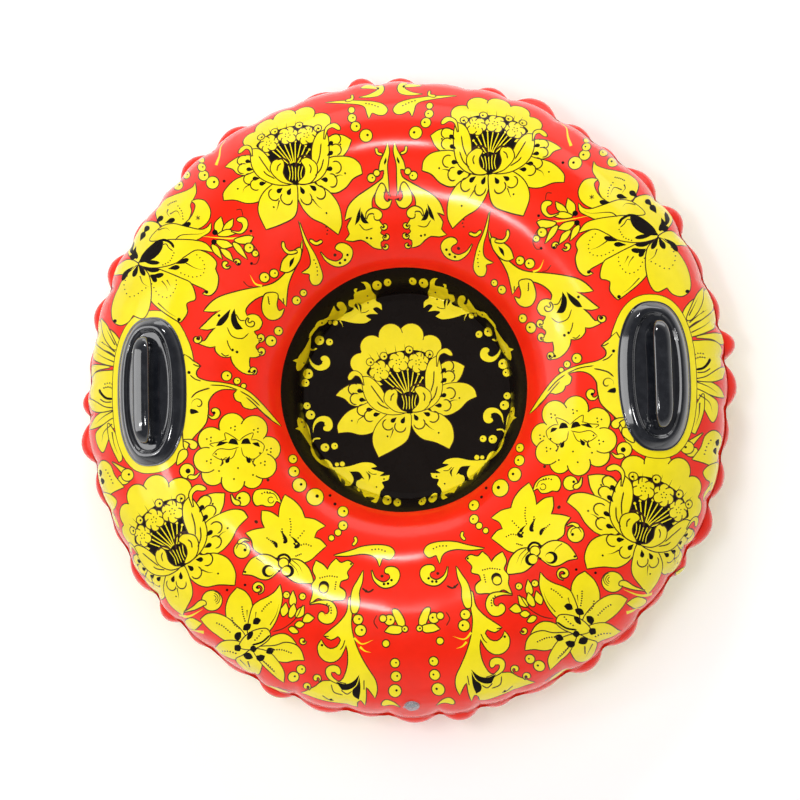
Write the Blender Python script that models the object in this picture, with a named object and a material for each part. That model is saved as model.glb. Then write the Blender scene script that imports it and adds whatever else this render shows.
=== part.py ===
"""Inflatable ring for snow and water, lying flat, in metres, +Z up.

Two printed PVC skins are welded together round the rim and, with the seat floor between them,
round the hole. Moulded grip handles are welded on top at +X and -X, and the valve is at -Y.
"""

import math

import bmesh
import bpy
from mathutils import Matrix, Vector

# Ring
rim_radius = 0.496  # weld line of the two skins, at the outside
hole_radius = 0.160  # weld line of the skins and the seat floor
ring_height = 0.300  # from the ground to the crown
seam_rise = 0.008  # how far the rim seam lies above the middle of the ring
contact_sink = 0.002  # how far the underside is pressed flat where it lies on the ground
rim_pinch = 0.020  # how far the shoulder above the rim is drawn in by the weld
wall = 0.0009  # PVC sheet
gap = 0.0003  # between pieces that are welded to or rest on each other
facet_sag = 0.0008  # most that the skin's flat facets lie inside its true curve
rim_flange = 0.003  # welded edge that stands out from the rim seam
hole_flange = 0.010  # welded edge that lies on the seat floor
floor_thickness = 0.0010

# Puffs that the flat-cut sheets form along the rim
puff_count = 44
puff_creases = 3  # mesh columns in each puff
puff_rise_top = 0.011  # height of a puff, upper skin
puff_rise_under = 0.017  # height of a puff, lower skin
crease_share = 0.40  # share of that height by which a crease lies below the smooth ring
crease_reach = 38.0  # degrees of the section that the creases run inwards
seam_wave = 0.006  # how far the seam is drawn in at each crease
puff_spread = 0.28  # how uneven the widths of the puffs are
puff_size = (0.85, 0.3)  # middle and swing of the puffs' heights, as shares of the rise
puff_roundness = 0.7  # power of the sine across a puff: lower is a sharper crease
crease_powers = (0.6, 1.6)  # how fast a crease starts at the rim and runs out on the ring
seam_fade = 12.0  # degrees of the section over which the drawn-in seam evens out

# Handles
handle_inset = 0.1195  # from the rim seam inwards to the middle of a handle
pad_length = 0.224
pad_width = 0.114
pad_squareness = 2.5
pad_edge = 0.0022  # thickness of the welded edge
pad_edge_width = 0.0040
pad_floor = 0.0028  # thickness in the dish
pad_ridge = 0.0100  # height of the ridge round the dish
pad_ridge_inset = 0.0095  # from the outline to the top of the ridge
pad_dish_inset = 0.0210  # from the outline to the level floor of the dish
pad_slope_in = ((0.25, 0.85), (0.60, 0.20))  # shares of the way to the dish, and of the ridge's height
pad_slope_out = (0.35, 0.85)
grip_length = 0.162
grip_width = 0.027
grip_thickness = 0.013
grip_arch = 0.42  # power of the sine along the grip: lower is squarer
grip_corners = 0.8  # the same round its section
grip_flare = 0.12  # how much wider the feet are
finger_room = 0.019  # between the dish and the grip
pad_columns = 32
grip_stations = 22
grip_sides = 12

# Valve
valve_angle = 25.0  # degrees above the rim seam
valve_clear_zone = 0.060  # the skin is smooth this far round the valve
neck_bore = 0.0070
neck_wall = 0.0017
neck_depth = 0.020
collar_radius = 0.0115
collar_thickness = 0.0020
slide_clearance = 0.0004
sleeve_wall = 0.0015
sleeve_depth = 0.0092  # ends above the flap when the neck is pulled out
base_radius = 0.020
base_thickness = 0.0012
stopper_radius = 0.0060
stopper_tip_radius = 0.0048
stopper_depth = 0.0050
cap_radius = 0.0095
cap_thickness = 0.0016
strap_width = 0.0050
strap_thickness = 0.0012
strap_reach = 0.0030  # from the cap's edge to the bend of the strap
flap_thickness = 0.0008
flap_overlap = 0.0010  # how far the flap laps over the neck's bore
valve_edge = 0.0006  # bevel of the valve's edges
sleeve_foot = 0.0020  # fillet between the base and its sleeve
strap_root = 0.25  # share of the cap that the strap runs into
hole_cut = 0.006  # half the height of the cut through the skin
valve_columns = 24

# Worked out from the above
middle_z = ring_height / 2
seam_z = middle_z + seam_rise
tube_radius = (rim_radius - hole_radius) / 2
tube_centre = (rim_radius + hole_radius) / 2
handle_radius = rim_radius - handle_inset
neck_radius = neck_bore + neck_wall
guide_radius = neck_radius + slide_clearance


# ---------------------------------------------------------------- section of the ring


def section(upper, angle):
    """(radius, z) of the smooth outer surface; angle is 0 at the rim, 180 at the hole."""
    turn = math.radians(angle)
    level = seam_z if angle < 90 else middle_z
    radius = tube_centre + tube_radius * math.cos(turn)
    if angle < 90:
        radius -= rim_pinch * math.sin(turn) * math.cos(turn)
    if upper:
        return radius, level + (ring_height - level) * math.sin(turn)
    return radius, level - (level + contact_sink) * math.sin(turn)


def section_normal(upper, angle):
    """Outward unit normal (radial, z) of the smooth section."""
    step = 0.05
    before = section(upper, angle - step)
    after = section(upper, angle + step)
    along = Vector((after[0] - before[0], after[1] - before[1])).normalized()
    normal = Vector((-along.y, along.x))
    outward = Vector((math.cos(math.radians(angle)), math.sin(math.radians(angle)) * (1 if upper else -1)))
    return normal if normal.dot(outward) > 0 else -normal


def angle_at_radius(radius):
    """Section angle where the upper skin's outer half has this radius."""
    low, high = 0.0, 180.0
    for _ in range(40):
        middle = (low + high) / 2
        if section(True, middle)[0] > radius:
            low = middle
        else:
            high = middle
    return (low + high) / 2


def puff_edges():
    """Directions of the creases, once round, in radians; one puff is centred on the valve."""
    widths = [
        1 + puff_spread * (0.6 * math.sin(2.4 * k + 0.7) + 0.4 * math.sin(5.1 * k))
        for k in range(puff_count)
    ]
    scale = math.tau / sum(widths)
    edges = [-math.pi / 2 - widths[0] * scale / 2]
    for width in widths:
        edges.append(edges[-1] + width * scale)
    return edges


creases = puff_edges()


def column_direction(column):
    """Direction of a mesh column, in radians: the columns gather at the creases."""
    puff, place = divmod(column, puff_creases)
    left, right = creases[puff], creases[puff + 1]
    return left + (right - left) * place / puff_creases


def puff_swell(column):
    """0 on a crease, about 1 on the back of a puff."""
    puff, place = divmod(column, puff_creases)
    size = puff_size[0] + puff_size[1] * math.sin(1.7 * puff + 0.4)
    return size * math.sin(math.pi * place / puff_creases) ** puff_roundness if place else 0.0


def puff_height(upper, angle, column, direction):
    """How far the skin stands off the smooth section."""
    share = angle / crease_reach
    if share <= 0 or share >= 1:
        return 0.0
    start, end = crease_powers
    peak = start / (start + end)
    fade = (share / peak) ** start * ((1 - share) / (1 - peak)) ** end
    rise = puff_rise_top if upper else puff_rise_under
    height = rise * fade * (puff_swell(column) - crease_share)
    return height * valve_mask(upper, angle, direction)


def valve_mask(upper, angle, direction):
    """0 at the valve, 1 away from it."""
    if not upper:
        return 1.0
    around = math.remainder(direction + math.pi / 2, math.tau) * rim_radius
    along = math.radians(angle - valve_angle) * tube_radius
    distance = math.hypot(around, along) / valve_clear_zone
    return min(1.0, max(0.0, 2 * distance - 1))


def seam_radius(column):
    return rim_radius - seam_wave * (1 - min(1.0, puff_swell(column)))


def ring_place(radius, direction, z):
    return radius * math.cos(direction), radius * math.sin(direction), z


# ---------------------------------------------------------------- helpers


def clear_scene():
    for item in list(bpy.data.objects):
        bpy.data.objects.remove(item, do_unlink=True)


def plastic(name, colour, roughness, alpha=1.0):
    material = bpy.data.materials.new(name)
    material.use_nodes = True
    shader = material.node_tree.nodes["Principled BSDF"]
    shader.inputs["Base Color"].default_value = (*colour, 1.0)
    shader.inputs["Roughness"].default_value = roughness
    shader.inputs["Metallic"].default_value = 0.0
    shader.inputs["Alpha"].default_value = alpha
    return material


def finish(mesh_data, name, material, parent=None, place=None):
    """Turns a bmesh into a smooth shaded object, placed by its matrix."""
    bmesh.ops.remove_doubles(mesh_data, verts=mesh_data.verts, dist=1e-6)
    bmesh.ops.recalc_face_normals(mesh_data, faces=mesh_data.faces)
    mesh = bpy.data.meshes.new(name)
    mesh_data.to_mesh(mesh)
    mesh_data.free()
    mesh.shade_smooth()
    mesh.set_sharp_from_angle(angle=math.radians(50))
    mesh.materials.append(material)
    item = bpy.data.objects.new(name, mesh)
    bpy.context.scene.collection.objects.link(item)
    if parent:
        item.parent = parent
    if place:
        item.matrix_world = place
    return item


def empty_at(name, place):
    item = bpy.data.objects.new(name, None)
    item.empty_display_size = 0.02
    item.matrix_world = place
    bpy.context.scene.collection.objects.link(item)
    return item


def stitch(mesh_data, first, second):
    """Faces between two closed rows, the second with as many points or half as many."""
    count, half = len(first), len(second)
    if count == half:
        for i in range(count):
            j = (i + 1) % count
            mesh_data.faces.new((first[i], first[j], second[j], second[i]))
        return
    if count < half:
        stitch(mesh_data, second, first)
        return
    for i in range(half):
        j = (i + 1) % half
        left, middle, right = first[2 * i], first[2 * i + 1], first[(2 * i + 2) % count]
        mesh_data.faces.new((left, middle, second[i]))
        mesh_data.faces.new((middle, second[j], second[i]))
        mesh_data.faces.new((middle, right, second[j]))


def revolve(profile, columns=valve_columns, bend=None):
    """Closed solid from a loop of (radius, z) round Z; bend(x, y) is added to z."""
    mesh_data = bmesh.new()
    rows = []
    for radius, z in profile:
        row = []
        for i in range(columns):
            turn = math.tau * i / columns
            x, y = radius * math.cos(turn), radius * math.sin(turn)
            row.append(mesh_data.verts.new((x, y, z + (bend(x, y) if bend else 0))))
        rows.append(row)
    for first, second in zip(rows, rows[1:] + rows[:1]):
        stitch(mesh_data, first, second)
    return mesh_data


def turned(profile, columns=valve_columns):
    """Closed solid from an open (radius, z) line whose two ends are capped on the axis."""
    mesh_data = bmesh.new()
    rows = []
    for radius, z in profile:
        turns = [math.tau * i / columns for i in range(columns)]
        rows.append([mesh_data.verts.new((radius * math.cos(t), radius * math.sin(t), z)) for t in turns])
    for first, second in zip(rows, rows[1:]):
        stitch(mesh_data, first, second)
    mesh_data.faces.new(rows[0])
    mesh_data.faces.new(rows[-1])
    return mesh_data


# ---------------------------------------------------------------- skins and floor


def skin_rows(upper):
    """(section angle, points are 1/n of the columns) from the hole to the rim."""
    inner = [(170, 4), (155, 4), (138, 4), (121, 4), (106, 2)]
    outer = [(50, 2), (39, 1), (29, 1), (20, 1), (12, 1), (5, 1)]
    if upper:
        crown = [(90, 2), (76, 2), (62, 2)]
    else:
        flat_inside = 180 - math.degrees(math.asin(middle_z / (middle_z + contact_sink)))
        flat_outside = math.degrees(math.asin(seam_z / (seam_z + contact_sink)))
        crown = [(flat_inside, 2), (flat_outside, 2), (65, 2)]
    return inner + crown + outer


def skin_point(upper, angle, column, depth):
    """A point of the skin, at this depth below its outer surface."""
    direction = column_direction(column)
    radius, z = section(upper, angle)
    normal = section_normal(upper, angle)
    if not upper and z < gap:
        z, normal = 0.0, Vector((0.0, -1.0))
    stand = puff_height(upper, angle, column, direction) - depth
    draw = (rim_radius - seam_radius(column)) * max(0.0, 1 - angle / seam_fade)
    radius += stand * normal.x - draw
    return ring_place(radius, direction, z + stand * normal.y)


def make_skin(upper, name, material):
    """One skin with its wall, its flange on the seat floor and its flange at the rim."""
    sign = 1 if upper else -1
    columns = puff_count * puff_creases
    mesh_data = bmesh.new()

    def ring_row(radius_of, z, share):
        row = []
        for column in range(0, columns, share):
            place = ring_place(radius_of(column), column_direction(column), z)
            row.append(mesh_data.verts.new(place))
        return row

    def wall_row(angle, share, depth):
        return [mesh_data.verts.new(skin_point(upper, angle, c, depth)) for c in range(0, columns, share)]

    floor_face = middle_z + sign * (floor_thickness / 2 + gap)
    floor_top = floor_face + sign * wall
    rim_face = seam_z + sign * gap / 2
    rim_top = rim_face + sign * wall
    outside = [wall_row(angle, share, 0.0) for angle, share in skin_rows(upper)]
    inside = [wall_row(angle, share, wall) for angle, share in reversed(skin_rows(upper))]
    rows = [
        ring_row(lambda c: hole_radius - hole_flange, floor_face, 4),
        ring_row(lambda c: hole_radius - hole_flange, floor_top, 4),
        ring_row(lambda c: hole_radius, floor_top, 4),
        *outside,
        ring_row(lambda c: seam_radius(c), rim_top, 1),
        ring_row(lambda c: seam_radius(c) + rim_flange, rim_top, 1),
        ring_row(lambda c: seam_radius(c) + rim_flange, rim_face, 1),
        ring_row(lambda c: seam_radius(c) - wall, rim_face, 1),
        *inside,
        ring_row(lambda c: hole_radius + wall, floor_face, 4),
    ]
    for first, second in zip(rows, rows[1:] + rows[:1]):
        stitch(mesh_data, first, second)
    return finish(mesh_data, name, material)


def make_floor(material):
    """Round sheet held between the flanges of the two skins."""
    mesh_data = bmesh.new()
    columns = range(0, puff_count * puff_creases, 4)
    edge = hole_radius - 2 * gap
    rows = []
    for radius, z in (
        (edge / 2, middle_z + floor_thickness / 2),
        (edge, middle_z + floor_thickness / 2),
        (edge, middle_z - floor_thickness / 2),
        (edge / 2, middle_z - floor_thickness / 2),
    ):
        turns = [column_direction(c) for c in columns]
        rows.append([mesh_data.verts.new((radius * math.cos(t), radius * math.sin(t), z)) for t in turns])
    for first, second in zip(rows, rows[1:]):
        stitch(mesh_data, first, second)
    mesh_data.faces.new(rows[0])
    mesh_data.faces.new(rows[-1])
    return finish(mesh_data, "floor_sheet", material)


# ---------------------------------------------------------------- handles

handle_angle = angle_at_radius(handle_radius)
handle_normal = section_normal(True, handle_angle)
handle_out = Vector((handle_normal.x, 0, handle_normal.y))
handle_across = Vector((handle_normal.y, 0, -handle_normal.x))
handle_along = Vector((0, 1, 0))
handle_middle = Vector((handle_radius, 0, section(True, handle_angle)[1]))


def skin_level(x, y):
    """Height of the skin over the handle's plane, x away from the hole and y round the ring."""
    low, high = -0.08, 0.02
    for _ in range(30):
        level = (low + high) / 2
        point = handle_middle + x * handle_across + y * handle_along + level * handle_out
        radius = math.hypot(point.x, point.y)
        if point.z > section(True, angle_at_radius(radius))[1]:
            high = level
        else:
            low = level
    return (low + high) / 2


def handle_point(side, x, y, height):
    point = handle_middle + x * handle_across + y * handle_along + height * handle_out
    return side * point.x, point.y, point.z


def signed_power(value, power):
    return math.copysign(abs(value) ** power, value)


def pad_outline(turn, inset):
    power = 2 / pad_squareness
    x = signed_power(math.cos(turn), power) * (pad_width / 2 - inset)
    y = signed_power(math.sin(turn), power) * (pad_length / 2 - inset)
    return x, y


def make_pad(side, name, material):
    """Moulded oval: a welded edge, a ridge and a dish, on the curve of the skin."""
    mesh_data = bmesh.new()
    seat = 2 * gap
    rise = pad_ridge_inset - pad_edge_width
    fall = pad_dish_inset - pad_ridge_inset
    under = [(0.0, seat), (pad_edge_width, seat), (pad_ridge_inset + fall / 2, seat)]
    over = [
        (pad_dish_inset, pad_floor),
        *(
            (pad_ridge_inset + way * fall, pad_floor + share * (pad_ridge - pad_floor))
            for way, share in reversed(pad_slope_in)
        ),
        (pad_ridge_inset, pad_ridge),
        (pad_ridge_inset - pad_slope_out[0] * rise, pad_edge + pad_slope_out[1] * (pad_ridge - pad_edge)),
        (pad_edge_width, pad_edge),
        (0.0, pad_edge),
    ]

    def row_at(inset, share, height):
        row = []
        for i in range(pad_columns):
            x, y = (share * value for value in pad_outline(math.tau * i / pad_columns, inset))
            row.append(mesh_data.verts.new(handle_point(side, x, y, skin_level(x, y) + height)))
        return row

    rows = [row_at(pad_dish_inset, 0.5, pad_floor)]
    rows += [row_at(inset, 1.0, height) for inset, height in over + under]
    rows += [row_at(pad_dish_inset, 0.5, seat)]
    for first, second in zip(rows, rows[1:]):
        stitch(mesh_data, first, second)
    for row, height in ((rows[0], pad_floor), (rows[-1], seat)):
        middle = mesh_data.verts.new(handle_point(side, 0, 0, skin_level(0, 0) + height))
        for i in range(pad_columns):
            mesh_data.faces.new((row[i], row[(i + 1) % pad_columns], middle))
    return finish(mesh_data, name, material)


def make_grip(side, name, material):
    """Arched bar whose two feet stand in the dish of the pad."""
    half_length = grip_length / 2
    foot_y = half_length - grip_thickness / 2
    foot_spots = [(x, y) for x in (-grip_width / 2, 0, grip_width / 2) for y in (foot_y, half_length)]
    foot_spots += [(0, foot_y - grip_thickness / 2)]
    foot = max(skin_level(x, y) for x, y in foot_spots) + pad_floor + gap
    top = pad_floor + finger_room + grip_thickness / 2

    def arch(turn):
        y = -foot_y * signed_power(math.cos(turn), grip_arch)
        return Vector((y, foot + (top - foot) * max(0.0, math.sin(turn)) ** grip_arch))

    mesh_data = bmesh.new()
    rows = []
    for station in range(grip_stations + 1):
        turn = math.pi * station / grip_stations
        spot = arch(turn)
        if station in (0, grip_stations):
            tangent = Vector((0, 1 if station == 0 else -1))
        else:
            tangent = (arch(turn + 0.02) - arch(turn - 0.02)).normalized()
        flare = 1 + grip_flare * abs(math.cos(turn)) ** 6
        row = []
        for i in range(grip_sides):
            round_turn = math.tau * i / grip_sides
            x = grip_width / 2 * flare * signed_power(math.cos(round_turn), grip_corners)
            t = grip_thickness / 2 * signed_power(math.sin(round_turn), grip_corners)
            place = handle_point(side, x, spot.x - t * tangent.y, spot.y + t * tangent.x)
            row.append(mesh_data.verts.new(place))
        rows.append(row)
    for first, second in zip(rows, rows[1:]):
        stitch(mesh_data, first, second)
    mesh_data.faces.new(rows[0])
    mesh_data.faces.new(rows[-1])
    return finish(mesh_data, name, material)


# ---------------------------------------------------------------- valve

valve_radius, valve_z = section(True, valve_angle)
valve_normal = section_normal(True, valve_angle)
valve_point = Vector(ring_place(valve_radius, -math.pi / 2, valve_z))
valve_out = Vector((0, -valve_normal.x, valve_normal.y))
valve_side = Vector((1, 0, 0))
valve_up = valve_out.cross(valve_side)


def valve_place(x=0.0, z=0.0):
    """Matrix of a valve piece: X round the rim, Z out of the skin."""
    turn = Matrix((valve_side, valve_up, valve_out)).transposed().to_4x4()
    return Matrix.Translation(valve_point + x * valve_side + z * valve_out) @ turn


def skin_bend(x, y):
    """Drop of the skin below its tangent plane at the valve."""
    round_rim = valve_radius / valve_normal.x
    return -(x * x / (2 * round_rim) + y * y / (2 * tube_radius))


collar_bottom = gap
collar_top = collar_bottom + collar_thickness
cap_bottom = collar_top + gap
strap_middle = cap_bottom + strap_thickness / 2 + gap
bend_x = -(cap_radius + strap_reach)
flap_top = -neck_depth - gap
flap_hinge_x = -(neck_bore + flap_overlap)


def cut_valve_hole(skin):
    cutter_data = turned([(guide_radius, -hole_cut), (guide_radius, hole_cut)])
    cutter = finish(cutter_data, "valve_hole_cutter", skin.data.materials[0], place=valve_place())
    cutter.hide_render = True
    cutter.display_type = "WIRE"
    hole = skin.modifiers.new("valve hole", "BOOLEAN")
    hole.operation = "DIFFERENCE"
    hole.solver = "EXACT"
    hole.object = cutter


def make_valve_base(material):
    """Flange welded under the skin, with the sleeve that guides the neck."""
    top = -wall - facet_sag - gap
    profile = [
        (guide_radius, top),
        (guide_radius + sleeve_wall + sleeve_foot, top),
        (base_radius, top),
        (base_radius, top - base_thickness),
        (guide_radius + sleeve_wall, top - base_thickness),
        (guide_radius + sleeve_wall, -sleeve_depth),
        (guide_radius, -sleeve_depth),
    ]
    return finish(revolve(profile, bend=skin_bend), "valve_base", material, place=valve_place())


def make_valve_neck(parent, material):
    """Tube that is pulled out to blow the ring up and pushed in for use."""
    profile = [
        (neck_bore, collar_top),
        (collar_radius - valve_edge, collar_top),
        (collar_radius, collar_top - valve_edge),
        (collar_radius, collar_bottom),
        (neck_radius, collar_bottom),
        (neck_radius, -neck_depth),
        (neck_bore, -neck_depth),
    ]
    return finish(revolve(profile), "valve_neck", material, parent, valve_place())


def make_valve_plug(parent, material):
    """Stopper and cap; the strap ends at its bend, where the collar carries it."""
    place = valve_place(bend_x, strap_middle)
    profile = [
        (stopper_tip_radius - valve_edge, cap_bottom - gap - stopper_depth),
        (stopper_tip_radius, cap_bottom - gap - stopper_depth + valve_edge),
        (stopper_radius, cap_bottom),
        (cap_radius, cap_bottom),
        (cap_radius, cap_bottom + cap_thickness - valve_edge),
        (cap_radius - valve_edge, cap_bottom + cap_thickness),
    ]
    plug_data = turned(profile)
    bmesh.ops.translate(plug_data, verts=plug_data.verts, vec=(-bend_x, 0, -strap_middle))
    plug = finish(plug_data, "valve_plug", material, parent, place)
    strap_data = bmesh.new()
    inset = cap_radius * strap_root
    bmesh.ops.create_cube(strap_data, size=1.0)
    stretch = Vector((strap_reach + strap_thickness / 2 + inset, strap_width, strap_thickness))
    bmesh.ops.scale(strap_data, verts=strap_data.verts, vec=stretch)
    shift = (stretch.x - strap_thickness) / 2
    bmesh.ops.translate(strap_data, verts=strap_data.verts, vec=(shift, 0, 0))
    strap = finish(strap_data, "plug_strap_join", material, parent, place)
    strap.hide_render = True
    strap.display_type = "WIRE"
    join = plug.modifiers.new("strap", "BOOLEAN")
    join.operation = "UNION"
    join.solver = "EXACT"
    join.object = strap
    return plug


def make_valve_flap(parent, material):
    """One-way flap that closes the neck from inside."""
    radius = neck_bore + flap_overlap
    profile = [(radius, 0), (radius, -flap_thickness)]
    flap_data = turned(profile)
    bmesh.ops.translate(flap_data, verts=flap_data.verts, vec=(radius, 0, 0))
    return finish(flap_data, "valve_flap", material, parent, valve_place(flap_hinge_x, flap_top))


def main():
    clear_scene()
    red = plastic("printed_red_pvc", (0.93, 0.022, 0.012), 0.22)
    red_under = plastic("printed_red_pvc_underside", (0.93, 0.022, 0.012), 0.22)
    black = plastic("printed_black_pvc", (0.012, 0.010, 0.009), 0.25)
    upper = make_skin(True, "upper_skin", red)
    make_skin(False, "lower_skin", red_under)
    make_floor(black)
    for side, word in ((-1, "left"), (1, "right")):
        pad_black = plastic(f"moulded_black_pvc_pad_{word}", (0.010, 0.011, 0.012), 0.18)
        grip_black = plastic(f"moulded_black_pvc_grip_{word}", (0.010, 0.011, 0.012), 0.18)
        make_pad(side, f"handle_pad_{word}", pad_black)
        make_grip(side, f"handle_grip_{word}", grip_black)
    cut_valve_hole(upper)
    make_valve_base(plastic("clear_pvc_base", (0.75, 0.76, 0.78), 0.25, 0.5))
    slide_empty = empty_at("neck_slide", valve_place())
    make_valve_neck(slide_empty, plastic("clear_pvc_neck", (0.75, 0.76, 0.78), 0.2, 0.5))
    plug_empty = empty_at("plug_bend", valve_place(bend_x, strap_middle))
    make_valve_plug(plug_empty, plastic("clear_pvc_plug", (0.75, 0.76, 0.78), 0.2, 0.5))
    flap_empty = empty_at("flap_bend", valve_place(flap_hinge_x, flap_top))
    make_valve_flap(flap_empty, plastic("clear_pvc_flap", (0.75, 0.76, 0.78), 0.3, 0.5))
    bpy.context.view_layer.update()
    print(f"handle centre angle {handle_angle:.2f}, handle z {handle_middle.z:.4f}")
    print("valve point", tuple(round(v, 5) for v in valve_point), "out", tuple(round(v, 5) for v in valve_out))
    print("plug bend at", tuple(round(v, 5) for v in valve_place(bend_x, strap_middle).translation))
    print("flap bend at", tuple(round(v, 5) for v in valve_place(flap_hinge_x, flap_top).translation))
    print("valve up", tuple(round(v, 5) for v in valve_up))


main()
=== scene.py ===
import math
import bmesh
import bpy
import numpy as np
from mathutils import Matrix, Vector
from mathutils.geometry import delaunay_2d_cdt


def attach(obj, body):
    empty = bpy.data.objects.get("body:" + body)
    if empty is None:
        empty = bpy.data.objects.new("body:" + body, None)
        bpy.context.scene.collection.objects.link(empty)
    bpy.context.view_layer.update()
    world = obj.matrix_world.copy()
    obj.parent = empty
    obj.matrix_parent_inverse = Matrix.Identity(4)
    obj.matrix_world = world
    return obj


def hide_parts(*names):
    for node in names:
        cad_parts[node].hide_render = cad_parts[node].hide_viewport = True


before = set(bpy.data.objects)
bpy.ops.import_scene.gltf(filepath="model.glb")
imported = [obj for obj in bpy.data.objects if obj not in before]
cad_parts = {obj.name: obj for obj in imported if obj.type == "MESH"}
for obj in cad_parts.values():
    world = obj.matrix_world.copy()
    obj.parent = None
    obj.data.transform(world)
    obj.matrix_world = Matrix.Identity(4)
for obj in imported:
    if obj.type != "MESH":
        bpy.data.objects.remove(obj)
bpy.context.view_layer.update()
scene = bpy.context.scene

# ring: two printed skins, in metres and degrees
ring = {
    "rimRadius": 0.496, "holeRadius": 0.160, "ringHeight": 0.300, "seamRise": 0.008,
    "contactSink": 0.002, "rimPinch": 0.020, "flatSpan": 0.500,
    "riseTop": 0.0045, "riseUnder": 0.023, "creaseShare": 0.40, "creaseShareUnder": 0.14, "creaseReach": 38.0,
    "seamWave": 0.004, "seamDraw": 0.0075, "seamFade": 26.0, "puffRound": 0.7, "creaseStart": 0.6,
    "creaseEnd": 1.6, "pinchUnder": 0.2, "dent": 0.0010, "dentScale": 7.0, "dentFadeRim": 30.0,
    "dentFadeHole": 25.0, "wrinkle": 0.0011, "wrinkleScale": 9.0, "wrinkleReach": 26.0, "wrinkleStart": 4.0,
    "wrinkleRun": 1.6, "touch": 0.0002,
}
puffs = {"count": 44, "spread": 0.28, "size": (0.85, 0.3), "reach": (1.0, 0.28), "calmFront": 0.35}
welds = {"rimFlange": 0.003, "sheet": 0.0009, "holeFlange": 0.010, "floor": 0.0010, "gap": 0.0003}
middleZ = ring["ringHeight"] / 2
tubeRadius = (ring["rimRadius"] - ring["holeRadius"]) / 2
tubeCentre = (ring["rimRadius"] + ring["holeRadius"]) / 2


class Flow:
    # a socket that can be used in sums
    def __init__(self, tree, socket):
        self.tree = tree
        self.socket = socket

    def do(self, kind, *others):
        node = self.tree.nodes.new("ShaderNodeMath")
        node.operation = kind
        for slotIn, value in zip(node.inputs, (self, *others)):
            feed(self.tree, slotIn, value)
        return Flow(self.tree, node.outputs[0])

    def __add__(self, other):
        return self.do("ADD", other)

    def __radd__(self, other):
        return self.do("ADD", other)

    def __sub__(self, other):
        return self.do("SUBTRACT", other)

    def __rsub__(self, other):
        return (self * -1.0) + other

    def __mul__(self, other):
        return self.do("MULTIPLY", other)

    def __rmul__(self, other):
        return self.do("MULTIPLY", other)

    def __truediv__(self, other):
        return self.do("DIVIDE", other)

    def __pow__(self, other):
        return self.do("POWER", other)


def feed(tree, slotIn, value):
    if isinstance(value, Flow):
        tree.links.new(value.socket, slotIn)
    else:
        slotIn.default_value = value


def addNode(tree, kind, settings=None, **inputs):
    node = tree.nodes.new(kind)
    for key, value in (settings or {}).items():
        setattr(node, key, value)
    for key, value in inputs.items():
        feed(tree, node.inputs[key.replace("_", " ")], value)
    return node


def flowFrom(tree, kind, output=0, **inputs):
    return Flow(tree, addNode(tree, kind, **inputs).outputs[output])


def joinXyz(tree, parts):
    node = tree.nodes.new("ShaderNodeCombineXYZ")
    for slotIn, part in zip(node.inputs, parts):
        feed(tree, slotIn, part)
    return Flow(tree, node.outputs[0])


def noise(tree, vector, **inputs):
    return flowFrom(tree, "ShaderNodeTexNoise", Vector=vector, **inputs)


def colourRamp(tree, value, stops):
    # two stops, each a place from 0 to 1 and its colour
    ramp = tree.nodes.new("ShaderNodeValToRGB")
    feed(tree, ramp.inputs[0], value)
    for element, (position, colour) in zip(ramp.color_ramp.elements, stops):
        element.position = position
        element.color = (*colour, 1)
    return Flow(tree, ramp.outputs[0])


def geometryTree(name, numbers):
    # an empty tree with Geometry in and out, and one named float input for each number
    tree = bpy.data.node_groups.new(name, "GeometryNodeTree")
    tree.interface.new_socket("Geometry", in_out="INPUT", socket_type="NodeSocketGeometry")
    tree.interface.new_socket("Geometry", in_out="OUTPUT", socket_type="NodeSocketGeometry")
    for key, value in numbers.items():
        made = tree.interface.new_socket(key, in_out="INPUT", socket_type="NodeSocketFloat")
        made.default_value = value
    start = tree.nodes.new("NodeGroupInput")
    end = tree.nodes.new("NodeGroupOutput")
    values = {key: Flow(tree, start.outputs[key]) for key in numbers}
    return tree, start.outputs["Geometry"], end.inputs["Geometry"], values


def runTree(item, tree, numbers):
    # sets the inputs by identifier, evaluates, and returns the plain mesh
    modifier = item.modifiers.new(tree.name, "NODES")
    modifier.node_group = tree
    for socket in tree.interface.items_tree:
        if socket.item_type == "SOCKET" and socket.in_out == "INPUT" and socket.name in numbers:
            modifier[socket.identifier] = float(numbers[socket.name])
    bpy.context.view_layer.update()
    graph = bpy.context.evaluated_depsgraph_get()
    made = bpy.data.meshes.new_from_object(item.evaluated_get(graph))
    item.modifiers.remove(modifier)
    return made


def newObject(name, mesh):
    item = bpy.data.objects.new(name, mesh)
    scene.collection.objects.link(item)
    return item


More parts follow.
